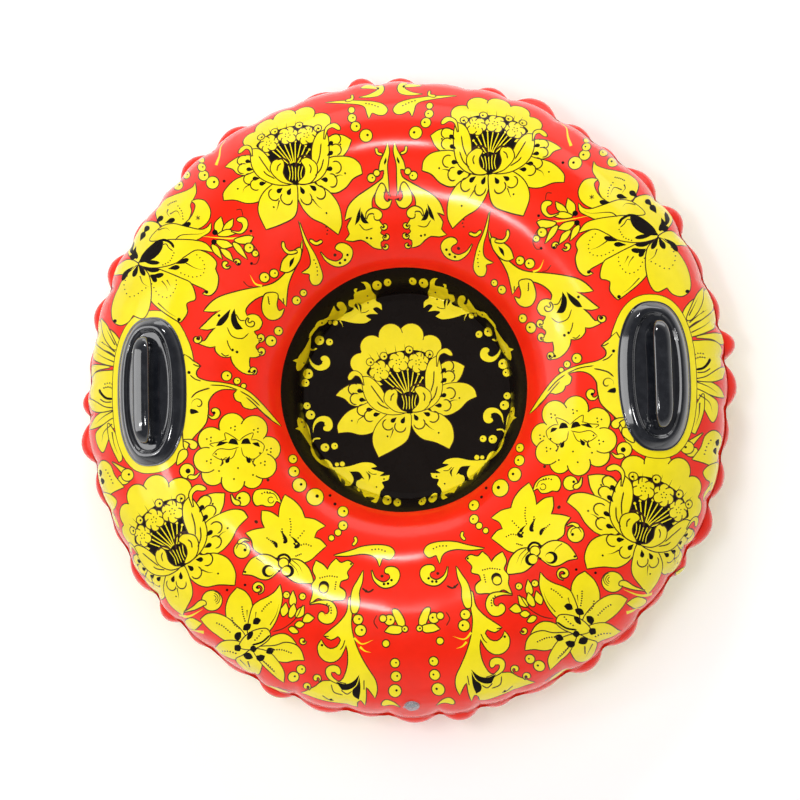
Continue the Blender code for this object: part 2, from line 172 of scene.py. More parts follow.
def ringTree(materials):
    # maps a flat-cut sheet onto the inflated ring: the sheet's radius runs along the section
    names = [*ring, "side", "flangeLevel"]
    tree, geometry, result, v = geometryTree("inflate ring", dict.fromkeys(names, 0.0))

    def named(key):
        node = addNode(tree, "GeometryNodeInputNamedAttribute", {"data_type": "FLOAT"}, Name=key)
        return Flow(tree, node.outputs["Attribute"])

    spot = tree.nodes.new("GeometryNodeInputPosition")
    apart = tree.nodes.new("ShaderNodeSeparateXYZ")
    tree.links.new(spot.outputs[0], apart.inputs[0])
    x, y = Flow(tree, apart.outputs[0]), Flow(tree, apart.outputs[1])
    rho = (x * x + y * y).do("SQRT")
    cosWay, sinWay = x / rho, y / rho
    onWall = rho.do("MAXIMUM", v["holeRadius"]).do("MINIMUM", v["holeRadius"] + v["flatSpan"])
    beyond = rho - onWall
    angle = (1.0 - (onWall - v["holeRadius"]) / v["flatSpan"]) * math.pi
    degrees = angle * (180 / math.pi)
    sinA, cosA = angle.do("SINE"), angle.do("COSINE")
    outer = angle.do("LESS_THAN", math.pi / 2)
    level = v["ringHeight"] * 0.5 + v["seamRise"] * outer
    radiusMid = (v["rimRadius"] + v["holeRadius"]) * 0.5
    radiusTube = (v["rimRadius"] - v["holeRadius"]) * 0.5
    upper = v["side"].do("GREATER_THAN", 0.0)
    pinch = v["rimPinch"] * outer * (upper * (1.0 - v["pinchUnder"]) + v["pinchUnder"])
    radius = radiusMid + radiusTube * cosA - pinch * sinA * cosA
    depth = upper * (v["ringHeight"] - level) + (1.0 - upper) * (level + v["contactSink"])
    height = (level + v["side"] * depth * sinA).do("MAXIMUM", 0.0)
    slopeR = radiusTube * sinA * -1.0 - pinch * (angle * 2.0).do("COSINE")
    slopeZ = v["side"] * depth * cosA
    slope = (slopeR * slopeR + slopeZ * slopeZ).do("SQRT")
    normalR = v["side"] * slopeZ / slope
    normalZ = v["side"] * slopeR / slope * -1.0
    onGround = height.do("LESS_THAN", v["touch"]) * (1.0 - upper)
    # puffs between the creases of the rim
    place, size, reach, calm = named("puffPlace"), named("puffSize"), named("puffReach"), named("calm")
    still = named("still")
    swell = size * ((place * math.pi).do("SINE").do("MAXIMUM", 0.0) ** v["puffRound"])
    share = (degrees / (v["creaseReach"] * reach)).do("MINIMUM", 1.0).do("MAXIMUM", 0.0)
    peak = v["creaseStart"] / (v["creaseStart"] + v["creaseEnd"])
    fade = ((share / peak) ** v["creaseStart"]) * (((1.0 - share) / (1.0 - peak)) ** v["creaseEnd"])
    rise = upper * v["riseTop"] + (1.0 - upper) * v["riseUnder"]
    kept = upper * v["creaseShare"] + (1.0 - upper) * v["creaseShareUnder"]
    stand = rise * fade * (swell - kept) * calm
    # fine wrinkles that fan out of the rim weld, and broad soft dents
    direction = joinXyz(tree, (cosWay, sinWay, rho * v["wrinkleRun"] + v["side"]))
    ribs = noise(tree, direction, Scale=v["wrinkleScale"], Detail=2.0)
    ribFade = (1.0 - degrees / v["wrinkleReach"]).do("MAXIMUM", 0.0)
    ribFade = ribFade * (degrees / v["wrinkleStart"]).do("MINIMUM", 1.0)
    stand = stand + (ribs - 0.5) * v["wrinkle"] * 4.0 * ribFade * calm
    broad = noise(tree, Flow(tree, spot.outputs[0]), Scale=v["dentScale"], Detail=1.0)
    dentFade = (degrees / v["dentFadeRim"]).do("MINIMUM", 1.0)
    dentFade = dentFade * ((180.0 - degrees) / v["dentFadeHole"]).do("MINIMUM", 1.0)
    dentFade = dentFade.do("MAXIMUM", 0.0) * calm * still
    stand = stand + (broad - 0.5) * v["dent"] * 3.0 * dentFade
    stand = stand * (1.0 - onGround)
    draw = v["seamWave"] * (1.0 - swell.do("MINIMUM", 1.0)) + v["seamDraw"]
    draw = draw * (1.0 - degrees / v["seamFade"]).do("MAXIMUM", 0.0)
    radius = radius + stand * normalR - draw
    height = (height + stand * normalZ).do("MAXIMUM", 0.0)
    inFlange = beyond.do("LESS_THAN", -0.00001)  # the weld's flange inside the hole
    height = height * (1.0 - inFlange) + inFlange * (v["ringHeight"] * 0.5 + v["side"] * v["flangeLevel"])
    radius = radius + beyond
    joined = joinXyz(tree, (radius * cosWay, radius * sinWay, height))
    move = addNode(tree, "GeometryNodeSetPosition", Position=joined)
    tree.links.new(geometry, move.inputs["Geometry"])
    last = addNode(tree, "GeometryNodeRealizeInstances")
    tree.links.new(move.outputs[0], last.inputs[0])
    for index, material in enumerate(materials):
        ink = addNode(tree, "GeometryNodeInputNamedAttribute", {"data_type": "INT"}, Name="ink")
        same = addNode(tree, "FunctionNodeCompare", {"data_type": "INT", "operation": "EQUAL"})
        tree.links.new(ink.outputs["Attribute"], same.inputs[2])
        same.inputs[3].default_value = index
        inked = addNode(tree, "GeometryNodeSetMaterial", Material=material)
        tree.links.new(same.outputs[0], inked.inputs["Selection"])
        tree.links.new(last.outputs[0], inked.inputs["Geometry"])
        last = inked
    tree.links.new(last.outputs[0], result)
    return tree


def puffEdges():
    # directions of the creases once round; one puff is centred on the valve
    widths = [
        1 + puffs["spread"] * (0.6 * math.sin(2.4 * k + 0.7) + 0.4 * math.sin(5.1 * k))
        for k in range(puffs["count"])
    ]
    edges = np.concatenate([[0.0], np.cumsum(widths)]) * math.tau / sum(widths)
    return edges - math.pi / 2 - edges[1] / 2


creases = puffEdges()


def puffValues(points, side):
    # what the tree needs to know at each point of the flat sheet
    turn = np.arctan2(points[:, 1], points[:, 0])
    turn = creases[0] + np.mod(turn - creases[0], math.tau)
    index = np.clip(np.searchsorted(creases, turn, side="right") - 1, 0, puffs["count"] - 1)
    place = (turn - creases[index]) / (creases[index + 1] - creases[index])
    # sines with uneven steps stand in for chance
    size = puffs["size"][0] + puffs["size"][1] * np.sin(1.7 * index + 0.4)
    reachHere = puffs["reach"][0] + puffs["reach"][1] * np.sin(3.3 * np.arange(puffs["count"] + 1) + 1.0)
    reachHere[-1] = reachHere[0]
    reach = reachHere[index] * (1 - place) + reachHere[index + 1] * place
    calm, still = np.ones(len(points)), np.ones(len(points))
    if side < 0:
        size = size * (1 - puffs["calmFront"] * np.clip(-np.sin(turn), 0, 1))
    else:
        rho = np.hypot(points[:, 0], points[:, 1])
        degrees = 180 * (1 - (rho - ring["holeRadius"]) / ring["flatSpan"])
        around = (np.mod(turn + math.pi / 2 + math.pi, math.tau) - math.pi) * ring["rimRadius"]
        along = np.radians(degrees - valve["angle"]) * tubeRadius
        calm = np.clip(2 * np.hypot(around, along) / valve["clearZone"] - 1, 0, 1)
        for centre in (handleFlat, -handleFlat):
            apart = (points - (centre, 0.0)) / handleStill
            still = np.minimum(still, np.clip((np.hypot(apart[:, 0], apart[:, 1]) - 1) * 3, 0, 1))
    return {"puffPlace": place, "puffSize": size, "puffReach": reach, "calm": calm, "still": still}


def meshFrom(name, points, faces):
    mesh = bpy.data.meshes.new(name)
    flat = np.column_stack([points, np.zeros(len(points))]) if points.shape[1] == 2 else points
    mesh.from_pydata(flat.tolist(), [], [list(map(int, f)) for f in faces])
    return mesh


def sectionPoint(side, degrees):
    # smooth section, as in the CAD: radius and height
    turn = np.radians(np.asarray(degrees, dtype=float))
    outer = (np.asarray(degrees) < 90).astype(float)
    level = middleZ + ring["seamRise"] * outer
    radius = tubeCentre + tubeRadius * np.cos(turn) - ring["rimPinch"] * outer * np.sin(turn) * np.cos(turn)
    if side > 0:
        return radius, level + (ring["ringHeight"] - level) * np.sin(turn)
    return radius, np.maximum(level - (level + ring["contactSink"]) * np.sin(turn), 0.0)


sectionSteps = np.linspace(0.0, 180.0, 1441)
sectionRadii, sectionHeights = sectionPoint(1, sectionSteps)


def sectionAngle(radius):
    # section angle where the upper skin has this radius
    return np.interp(-np.asarray(radius), -sectionRadii, sectionSteps)


def sectionNormal(degrees):
    # outward unit normal of the upper skin, as radial and upward parts
    r0, z0 = sectionPoint(1, degrees - 0.05)
    r1, z1 = sectionPoint(1, degrees + 0.05)
    length = math.hypot(r1 - r0, z1 - z0)
    return (z0 - z1) / length * -1, (r0 - r1) / length


def flatFromSpace(points):
    # the place on the flat sheet of points on or near the upper skin
    turn = np.arctan2(points[:, 1], points[:, 0])
    radius = np.hypot(points[:, 0], points[:, 1])
    gaps = (radius[:, None] - sectionRadii) ** 2 + (points[:, 2][:, None] - sectionHeights) ** 2
    degrees = sectionSteps[np.argmin(gaps, axis=1)]
    rho = ring["holeRadius"] + ring["flatSpan"] * (1 - degrees / 180)
    return np.column_stack([rho * np.cos(turn), rho * np.sin(turn)])


view = {
    "distance": 4.0, "target": (0.0, 0.0, 0.155), "tiltBack": 7.7, "tiltSide": 2.8, "roll": -1.4,
    "pixelsPerMetre": 652.0, "ringAt": (406.5, 395.5), "frame": 800, "sensor": 36.0, "clip": (0.1, 60.0),
}


def viewAxes():
    # right, up and backward directions of the camera
    a, b = math.radians(view["tiltBack"]), math.radians(view["tiltSide"])
    back = Vector((math.sin(b), -math.sin(a) * math.cos(b), math.cos(a) * math.cos(b))).normalized()
    right = Vector((0, 1, 0)).cross(back).normalized()
    up = back.cross(right)
    r = math.radians(view["roll"])
    return right * math.cos(r) + up * math.sin(r), up * math.cos(r) - right * math.sin(r), back


def makeCamera():
    right, up, back = viewAxes()
    data = bpy.data.cameras.new("camera")
    data.sensor_width = view["sensor"]
    data.lens = view["sensor"] * view["pixelsPerMetre"] * view["distance"] / view["frame"]
    data.clip_start, data.clip_end = view["clip"]
    data.shift_x = -(view["ringAt"][0] - view["frame"] / 2) / view["frame"]
    data.shift_y = (view["ringAt"][1] - view["frame"] / 2) / view["frame"]
    camera = bpy.data.objects.new("camera", data)
    scene.collection.objects.link(camera)
    turn = [[right[i], up[i], back[i]] for i in range(3)]
    camera.rotation_euler = Matrix(turn).to_euler()
    camera.location = Vector(view["target"]) + back * view["distance"]
    scene.camera = camera


studio = {
    "whiteTo": 0.10, "dimFrom": 0.62, "dim": (0.13, 0.13, 0.14), "strength": 0.85, "aim": (0, 0, 0.15),
    "floorHalf": 12.0, "floorWhite": 0.95, "floorGlow": 0.16, "floorBelow": 0.0005,
}
lamps = (  # name, place, size, power, shows in gloss, lights the matt share
    ("fill overhead", (-0.4, -0.3, 4.2), (4.0, 4.0), 118, False, True),
    ("softbox top", (-0.42, -0.28, 3.4), (0.62, 0.20), 16, True, True),
    ("softbox back", (-0.1, 2.2, 2.5), (0.55, 0.20), 15, True, True),
    ("softbox side", (-2.0, -0.3, 2.3), (0.12, 0.45), 4, True, True),
    ("panel left", (-2.7, 0.2, 1.9), (2.4, 2.0), 40, True, False),
    ("panel behind", (0.6, 3.0, 0.75), (4.2, 1.1), 24, True, True),
)


def makeLights():
    # a bright horizon and a dim zenith keep the inks deep and the rim pale
    world = bpy.data.worlds.new("white studio")
    scene.world = world
    world.use_nodes = True
    tree = world.node_tree
    where = flowFrom(tree, "ShaderNodeTexCoord", "Generated")
    height = flowFrom(tree, "ShaderNodeSeparateXYZ", 2, Vector=where)
    sky = colourRamp(tree, height, ((studio["whiteTo"], (1.0, 1.0, 1.0)), (studio["dimFrom"], studio["dim"])))
    feed(tree, tree.nodes["Background"].inputs["Color"], sky)
    tree.nodes["Background"].inputs["Strength"].default_value = studio["strength"]
    for name, place, size, power, mirrored, matt in lamps:
        data = bpy.data.lights.new(name, "AREA")
        data.shape = "RECTANGLE"
        data.size, data.size_y = size
        data.energy = power
        lamp = bpy.data.objects.new(name, data)
        lamp.location = place
        lamp.rotation_euler = (Vector(studio["aim"]) - Vector(place)).to_track_quat("-Z", "Y").to_euler()
        lamp.visible_glossy = mirrored
        lamp.visible_diffuse = matt
        scene.collection.objects.link(lamp)
    scene.view_settings.view_transform = "Standard"


makeCamera()
makeLights()
print("camera and lights")


finish = {
    "red": (0.95, 0.022, 0.006), "yellow": (0.97, 0.80, 0.012), "black": (0.010, 0.007, 0.006),
    "line": (0.055, 0.020, 0.007), "rubber": (0.008, 0.009, 0.012), "clear": (0.72, 0.74, 0.77),
    "dust": (0.030, 0.032, 0.038), "gloss": 0.16, "mottle": 0.035, "stretch": (30.0, 4.0, 30.0),
    "clearDull": 0.55, "clearAlpha": 0.38,
}


def newMaterial(name):
    material = bpy.data.materials.new(name)
    material.use_nodes = True
    return material


def dress(material, values):
    # the shader's inputs by name, each a value or what flows there
    tree = material.node_tree
    for key, value in values.items():
        feed(tree, tree.nodes["Principled BSDF"].inputs[key], value)


def bumped(tree, height, strength, distance):
    return flowFrom(tree, "ShaderNodeBump", Height=height, Strength=strength, Distance=distance)


def printedPvc(name, colour, rough, coat=0.07, level=0.28):
    # glossy printed sheet: the ink's colour varies slightly and the film has a faint orange peel
    material = newMaterial(name)
    tree = material.node_tree
    where = flowFrom(tree, "ShaderNodeTexCoord", "Object")
    mottle = finish["mottle"]
    low = [c * (1 - mottle * 2.2) for c in colour]
    high = [min(1.0, c * (1 + mottle) + mottle * 0.02) for c in colour]
    cloud = noise(tree, where, Scale=22.0, Detail=4.0, Roughness=0.6)
    smear = noise(tree, where, Scale=60.0, Detail=3.0)
    peel = noise(tree, where, Scale=420.0, Detail=2.0)
    dress(material, {
        "Base Color": colourRamp(tree, cloud, ((0.30, low), (0.70, high))),
        "Roughness": smear * 0.10 + (rough - 0.05),
        "Normal": bumped(tree, peel, 0.05, 0.0004),
        "Specular IOR Level": level,
        "Coat Weight": coat,
        "Coat Roughness": 0.05,
    })
    return material


inks = [
    printedPvc("printed red", finish["red"], finish["gloss"]),
    printedPvc("printed black", finish["black"], 0.28, coat=0.0, level=0.03),
    printedPvc("printed yellow", finish["yellow"], finish["gloss"]),
    printedPvc("printed line", finish["line"], finish["gloss"]),
]
red, black, yellow, brown = range(4)  # places in inks, brown for the lines


grid = {"columns": 440, "rows": 72, "edge": 0.0005}


def smoothNormals(tree, numbers, side):
    # normals of a clean even grid on the same surface, as (rows, columns, 3)
    rows, columns = grid["rows"] * 2, grid["columns"] * 2
    rho = ring["holeRadius"] + ring["flatSpan"] * np.linspace(grid["edge"], 1 - grid["edge"], rows)
    turn = creases[0] + math.tau * np.arange(columns) / columns
    points = np.stack([np.outer(rho, np.cos(turn)), np.outer(rho, np.sin(turn))], axis=-1).reshape(-1, 2)
    mesh = bpy.data.meshes.new("even grid")
    mesh.vertices.add(len(points))
    mesh.vertices.foreach_set("co", np.column_stack([points, np.zeros(len(points))]).ravel())
    storeValues(mesh, puffValues(points, side))
    item = newObject("even grid", mesh)
    made = runTree(item, tree, numbers)
    place = np.empty(len(points) * 3)
    made.vertices.foreach_get("co", place)
    place = place.reshape(rows, columns, 3)
    along = np.gradient(place, axis=0)
    around = (np.roll(place, -1, axis=1) - np.roll(place, 1, axis=1)) / 2
    normal = np.cross(around, along) * side
    normal /= np.linalg.norm(normal, axis=2, keepdims=True)
    bpy.data.objects.remove(item)
    bpy.data.meshes.remove(made)
    return -normal if normal[rows // 2, 0, 2] * side < 0 else normal


def readNormals(table, points):
    rows, columns = table.shape[:2]
    rho = np.hypot(points[:, 0], points[:, 1])
    row = np.clip((rho - ring["holeRadius"]) / ring["flatSpan"], 0, 1)
    row = np.clip((row - grid["edge"]) / (1 - 2 * grid["edge"]) * (rows - 1), 0, rows - 1.001)
    turn = np.arctan2(points[:, 1], points[:, 0])
    column = np.mod(turn - creases[0], math.tau) / math.tau * columns
    r0, c0 = np.floor(row).astype(int), np.floor(column).astype(int) % columns
    fr, fc = (row - r0)[:, None], (column - np.floor(column))[:, None]
    c1 = (c0 + 1) % columns
    mixed = (table[r0, c0] * (1 - fr) * (1 - fc) + table[r0 + 1, c0] * fr * (1 - fc)
             + table[r0, c1] * (1 - fr) * fc + table[r0 + 1, c1] * fr * fc)
    return mixed / np.linalg.norm(mixed, axis=1, keepdims=True)


def storeValues(mesh, values):
    for key, numbers in values.items():
        made = mesh.attributes.new(key, "FLOAT", "POINT")
        made.data.foreach_set("value", np.asarray(numbers, dtype=np.float32))


def insidePolygon(points, polygon):
    # even-odd test of many points against one outline
    x, y = points[:, 0][:, None], points[:, 1][:, None]
    a, b = polygon, np.roll(polygon, -1, axis=0)
    crosses = (a[:, 1] > y) != (b[:, 1] > y)
    rise = b[:, 1] - a[:, 1]
    rise = np.where(np.abs(rise) < 1e-12, 1e-12, rise)
    at = a[:, 0] + (y - a[:, 1]) * (b[:, 0] - a[:, 0]) / rise
    return (crosses & (x < at)).sum(axis=1) % 2 == 1


def sheetMesh(name, shapes, inner, outer, holes, columns, rows):
    # a flat ring sheet whose triangles follow every printed outline
    turns = creases[0] + math.tau * np.arange(columns) / columns
    points, edges = [], []

    def addLoop(loop):
        first = len(points)
        points.extend(map(tuple, loop))
        count = len(loop)
        edges.extend((first + i, first + (i + 1) % count) for i in range(count))

    border = []
    for radius in (inner, outer):
        if radius > 0:
            border.append(np.column_stack([radius * np.cos(turns), radius * np.sin(turns)]))
            addLoop(border[-1])
    for outline in holes:
        addLoop(outline)
    for _, outline in shapes:
        addLoop(outline)
    span = outer - inner
    for i in range(1, rows):
        radius = inner + span * i / rows
        count = max(12, int(columns * min(1.0, radius / outer + 0.25)))
        shift = 0.5 * (i % 2)
        t = creases[0] + math.tau * (np.arange(count) + shift) / count
        points.extend(zip(radius * np.cos(t), radius * np.sin(t)))
    vectors = [Vector((float(px), float(py))) for px, py in points]
    made, _, faces, _, _, _ = delaunay_2d_cdt(vectors, edges, [], 0, 1e-6)
    spots = np.array([tuple(p) for p in made])
    faces = np.array(faces)
    centres = spots[faces].mean(axis=1)
    far = np.hypot(centres[:, 0], centres[:, 1])
    keep = far < outer
    if inner > 0:
        keep &= insidePolygon(centres, border[-1]) & ~insidePolygon(centres, border[0])
    for outline in holes:
        keep &= ~insidePolygon(centres, outline)
    faces, centres = faces[keep], centres[keep]
    ink = np.zeros(len(faces), dtype=np.int32)
    order = np.argsort(centres[:, 0])
    sortedX = centres[order, 0]
    for value, outline in shapes:
        low, high = outline.min(axis=0), outline.max(axis=0)
        a, b = np.searchsorted(sortedX, (low[0], high[0]))
        near = order[a:b]
        near = near[(centres[near, 1] >= low[1]) & (centres[near, 1] <= high[1])]
        if len(near):
            ink[near[insidePolygon(centres[near], outline)]] = value
    used, faces = np.unique(faces, return_inverse=True)
    faces = faces.reshape(-1, 3)
    spots = spots[used]
    mesh = meshFrom(name, spots, faces)
    mesh.attributes.new("ink", "INT", "FACE").data.foreach_set("value", ink)
    return mesh, spots


def makeSkin(side, name, shapes, holes=()):
    low = ring["holeRadius"] - welds["holeFlange"]
    high = ring["holeRadius"] + ring["flatSpan"] + welds["rimFlange"]
    mesh, spots = sheetMesh(name, shapes, low, high, holes, grid["columns"], grid["rows"])
    storeValues(mesh, puffValues(spots, side))
    level = welds["floor"] / 2 + welds["gap"] + welds["sheet"]
    numbers = {**ring, "side": side, "flangeLevel": level}
    tree = ringTree(inks)
    item = newObject(name, mesh)
    made = runTree(item, tree, numbers)
    normals = readNormals(smoothNormals(tree, numbers, side), spots)
    inside = np.hypot(spots[:, 0], spots[:, 1]) < ring["holeRadius"] - 1e-5
    normals[inside] = (0.0, 0.0, side)
    item.data = made
    finishSkin(item, normals, side)
    return item


def finishSkin(item, normals, side):
    # faces outwards, the cut edges turned down by the sheet's thickness, exact normals
    mesh = item.data
    mesh.update()
    face = mesh.polygons[len(mesh.polygons) // 2]
    if face.normal.dot(Vector(normals[face.vertices[0]])) < 0:
        mesh.flip_normals()
    work = bmesh.new()
    work.from_mesh(mesh)
    work.verts.ensure_lookup_table()
    cut = [edge for edge in work.edges if edge.is_boundary]
    made = bmesh.ops.extrude_edge_only(work, edges=cut)
    fresh = [part for part in made["geom"] if isinstance(part, bmesh.types.BMVert)]
    extra = []
    for vert in fresh:
        out = Vector((vert.co.x, vert.co.y, 0)).normalized()
        partner = min(vert.link_edges, key=lambda edge: edge.calc_length()).other_vert(vert)
        nearHole = vert.co.to_2d().length < tubeCentre
        extra.append(tuple(out * (-1 if nearHole else 1)))
        vert.co = partner.co + Vector((0, 0, -side * welds["sheet"]))
    work.to_mesh(mesh)
    work.free()
    mesh.shade_smooth()
    mesh.normals_split_custom_set_from_vertices(normals.tolist() + extra)
    for key in ("puffPlace", "puffSize", "puffReach", "calm", "still", "ink"):
        if key in mesh.attributes:
            mesh.attributes.remove(mesh.attributes[key])


def gridMesh(name, rows, closedRows=False, caps=()):
    # a skin over equal closed rows of points; caps fills the first or last row
    rows = np.asarray(rows)
    count, sides = rows.shape[:2]
    points = rows.reshape(-1, 3)
    faces = []
    for r in range(count if closedRows else count - 1):
        n = (r + 1) % count
        for i in range(sides):
            j = (i + 1) % sides
            faces.append((r * sides + i, r * sides + j, n * sides + j, n * sides + i))
    mesh = bpy.data.meshes.new(name)
    mesh.from_pydata(points.tolist(), [], faces)
    work = bmesh.new()
    work.from_mesh(mesh)
    work.verts.ensure_lookup_table()
    for row in caps:
        start = (row % count) * sides
        work.faces.new([work.verts[start + i] for i in range(sides)])
    bmesh.ops.recalc_face_normals(work, faces=work.faces)
    work.to_mesh(mesh)
    work.free()
    mesh.shade_smooth()
    return mesh


def catmull(a, b, c, d, t):
    # a smooth stretch from b to c, led by their neighbours
    t = t[:, None]
    return 0.5 * (2 * b + (c - a) * t + (2 * a - 5 * b + 4 * c - d) * t**2 + (3 * b - a - 3 * c + d) * t**3)


def lengthAlong(line):
    return np.concatenate([[0], np.cumsum(np.linalg.norm(np.diff(line, axis=0), axis=1))])


def throughPoints(points, steps):
    # a smooth line through these points, as steps samples between each two
    p = np.asarray(points, dtype=float)
    p = np.vstack([2 * p[0] - p[1], p, 2 * p[-1] - p[-2]])
    t = np.linspace(0, 1, steps, endpoint=False)
    made = [catmull(*p[i - 1:i + 3], t) for i in range(1, len(p) - 2)]
    return np.vstack([*made, p[-2][None]])


def signedPower(values, power):
    return np.sign(values) * np.abs(values) ** power


handle = {
    "inset": 0.1195, "length": 0.224, "width": 0.114, "square": 2.5, "edge": 0.0022,
    "edgeWidth": 0.0030, "floor": 0.0028, "ridge": 0.0100, "ridgeInset": 0.0160, "dishInset": 0.0265,
    "gripLength": 0.162, "gripWidth": 0.027, "gripThick": 0.013, "arch": 0.42, "corners": 0.8,
    "taper": 0.45, "fingerRoom": 0.019, "columns": 160, "stations": 72, "sides": 36,
}
handleStill = (0.078, 0.150)  # half the smooth patch under a handle, on the flat sheet
handleRadius = ring["rimRadius"] - handle["inset"]
handleAngle = float(sectionAngle(handleRadius))
handleFlat = ring["holeRadius"] + ring["flatSpan"] * (1 - handleAngle / 180)
normalR, normalZ = sectionNormal(handleAngle)
handleOut = np.array([normalR, 0.0, normalZ])
handleAcross = np.array([normalZ, 0.0, -normalR])
handleMiddle = np.array([handleRadius, 0.0, float(sectionPoint(1, handleAngle)[1])])


def handlePoints(side, x, y, height):
    # x away from the hole, y round the ring, height off the skin's curve
    x, y, height = np.broadcast_arrays(np.asarray(x, float), y, height)
    level = np.zeros(x.shape)
    base = handleMiddle + x[..., None] * handleAcross + y[..., None] * np.array([0.0, 1.0, 0.0])
    for _ in range(24):
        spot = base + level[..., None] * handleOut
        radius = np.hypot(spot[..., 0], spot[..., 1])
        level = level - 0.9 * (spot[..., 2] - sectionPoint(1, sectionAngle(radius))[1])
    made = base + (level + height)[..., None] * handleOut
    made[..., 0] *= side
    return made


def padOutline(inset):
    turns = math.tau * np.arange(handle["columns"]) / handle["columns"]
    power = 2 / handle["square"]
    x = signedPower(np.cos(turns), power) * (handle["width"] / 2 - inset)
    y = signedPower(np.sin(turns), power) * (handle["length"] / 2 - inset)
    return x, y


def makePad(side, name, material):
    h = handle
    rise, fall = h["ridgeInset"] - h["edgeWidth"], h["dishInset"] - h["ridgeInset"]
    ridge = h["ridge"]
    over = throughPoints([
        (0.0004, 0.0006), (0.0, h["edge"] * 0.5), (0.0006, h["edge"]), (h["edgeWidth"] * 0.9, h["edge"]),
        (h["edgeWidth"] + 0.25 * rise, h["edge"] + 0.42 * (ridge - h["edge"])),
        (h["ridgeInset"] - 0.35 * rise, h["edge"] + 0.90 * (ridge - h["edge"])),
        (h["ridgeInset"], ridge), (h["ridgeInset"] + 0.25 * fall, h["floor"] + 0.85 * (ridge - h["floor"])),
        (h["ridgeInset"] + 0.60 * fall, h["floor"] + 0.20 * (ridge - h["floor"])),
        (h["dishInset"], h["floor"]), (h["dishInset"] + 0.008, h["floor"] - 0.0002),
    ], 5)
    rows = []
    for inset, height in over:
        x, y = padOutline(inset)
        rows.append(handlePoints(side, x, y, height))
    inset = over[-1][0]
    for share in (0.75, 0.5, 0.25, 0.02):
        x, y = padOutline(inset)
        rows.append(handlePoints(side, x * share, y * share, h["floor"]))
    under = []
    for share in (0.02, 0.5, 1.0):
        x, y = padOutline(0.0004)
        under.append(handlePoints(side, x * share, y * share, 0.0004))
    mesh = gridMesh(name, under + rows, caps=(0, -1))
    mesh.materials.append(material)
    return newObject(name, mesh)


def makeGrip(side, name, material):
    h = handle
    footY = h["gripLength"] / 2 - h["gripThick"] / 2
    edges = handlePoints(1, [-h["gripWidth"] / 2, 0, h["gripWidth"] / 2], footY, 0.0)
    foot = float(((edges - handleMiddle) @ handleOut).max()) + h["floor"] + welds["gap"]
    foot = max(foot, h["floor"] + welds["gap"] + 0.0001)
    top = h["floor"] + h["fingerRoom"] + h["gripThick"] / 2

    def arch(turn):
        y = -footY * signedPower(np.cos(turn), h["arch"])
        return np.stack([y, foot + (top - foot) * np.maximum(np.sin(turn), 0) ** h["arch"]], axis=-1)

    turns = np.concatenate([[0.0], np.geomspace(0.0006, math.pi / 2, h["stations"] // 2)])
    turns = np.concatenate([turns, math.pi - turns[-2::-1]])
    spots = arch(turns)
    spine = np.gradient(spots, axis=0)
    spine[0], spine[-1] = (0, 1), (0, -1)
    spine /= np.linalg.norm(spine, axis=1, keepdims=True)
    roundTurns = math.tau * np.arange(h["sides"]) / h["sides"]
    rows = []
    for turn, spot, way in zip(turns, spots, spine):
        flare = 1 - h["taper"] * min(1.0, abs(spot[0]) / footY) ** 9
        x = h["gripWidth"] / 2 * flare * signedPower(np.cos(roundTurns), h["corners"])
        t = h["gripThick"] / 2 * signedPower(np.sin(roundTurns), h["corners"])
        y, height = spot[0] - t * way[1], spot[1] + t * way[0]
        place = handleMiddle + x[:, None] * handleAcross + height[:, None] * handleOut
        place[:, 1] += y
        place[:, 0] *= side
        rows.append(place)
    mesh = gridMesh(name, rows, caps=(0, -1))
    mesh.materials.append(material)
    return newObject(name, mesh)


def mouldedPvc(name):
    # soft moulded black: shiny, with faint flow lines, a fine grain and some dust
    material = newMaterial(name)
    tree = material.node_tree
    where = flowFrom(tree, "ShaderNodeTexCoord", "Object")
    dust = noise(tree, where, Scale=55.0, Detail=6.0, Roughness=0.7)
    stretched = flowFrom(tree, "ShaderNodeMapping", Vector=where, Scale=finish["stretch"])
    lines = noise(tree, stretched, Scale=3.0, Detail=4.0)
    grain = noise(tree, where, Scale=700.0, Detail=2.0)
    dress(material, {
        "Base Color": colourRamp(tree, dust, ((0.45, finish["rubber"]), (0.85, finish["dust"]))),
        "Roughness": lines * 0.10 + 0.05,
        "Normal": bumped(tree, grain, 0.08, 0.0003),
        "Specular IOR Level": 0.85,
        "Coat Weight": 0.9,
        "Coat Roughness": 0.04,
    })
    return material


moulded = mouldedPvc("moulded black")
for side, word in ((-1, "left"), (1, "right")):
    for maker, part in ((makePad, "pad"), (makeGrip, "grip")):
        piece = maker(side, f"handle{part.capitalize()}{word.capitalize()}", moulded)
        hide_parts(f"handle_{part}_{word}")
        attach(piece, "root")
print("handles")


valve = {
    "angle": 25.0, "clearZone": 0.060, "bore": 0.0070, "neckWall": 0.0017, "neckDepth": 0.020,
    "collar": 0.0115, "collarThick": 0.0020, "slide": 0.0004, "sleeveWall": 0.0015,
    "sleeveDepth": 0.0092, "base": 0.020, "baseThick": 0.0012, "stopper": 0.0060, "stopperTip": 0.0048,
    "stopperDepth": 0.0050, "cap": 0.0095, "capThick": 0.0016, "strapWidth": 0.0050,
    "strapThick": 0.0012, "strapReach": 0.0030, "flapThick": 0.0008, "flapOver": 0.0010,
    "columns": 72, "pole": 0.0003, "rimWidth": 0.0022, "rimFoot": 0.0030, "dish": 0.0005,
    "neckBevel": 0.0006, "capBevel": 0.0005, "baseBevel": 0.0004, "flapBevel": 0.0003,
    "baseDrop": 0.0022, "baseBend": 1.6, "holeSides": 48,
}
valveRadius, valveZ = (float(n) for n in sectionPoint(1, valve["angle"]))
valveOutR, valveOutZ = sectionNormal(valve["angle"])
valvePoint = np.array([0.0, -valveRadius, valveZ])
valveOut = np.array([0.0, -valveOutR, valveOutZ])
valveSide = np.array([1.0, 0.0, 0.0])
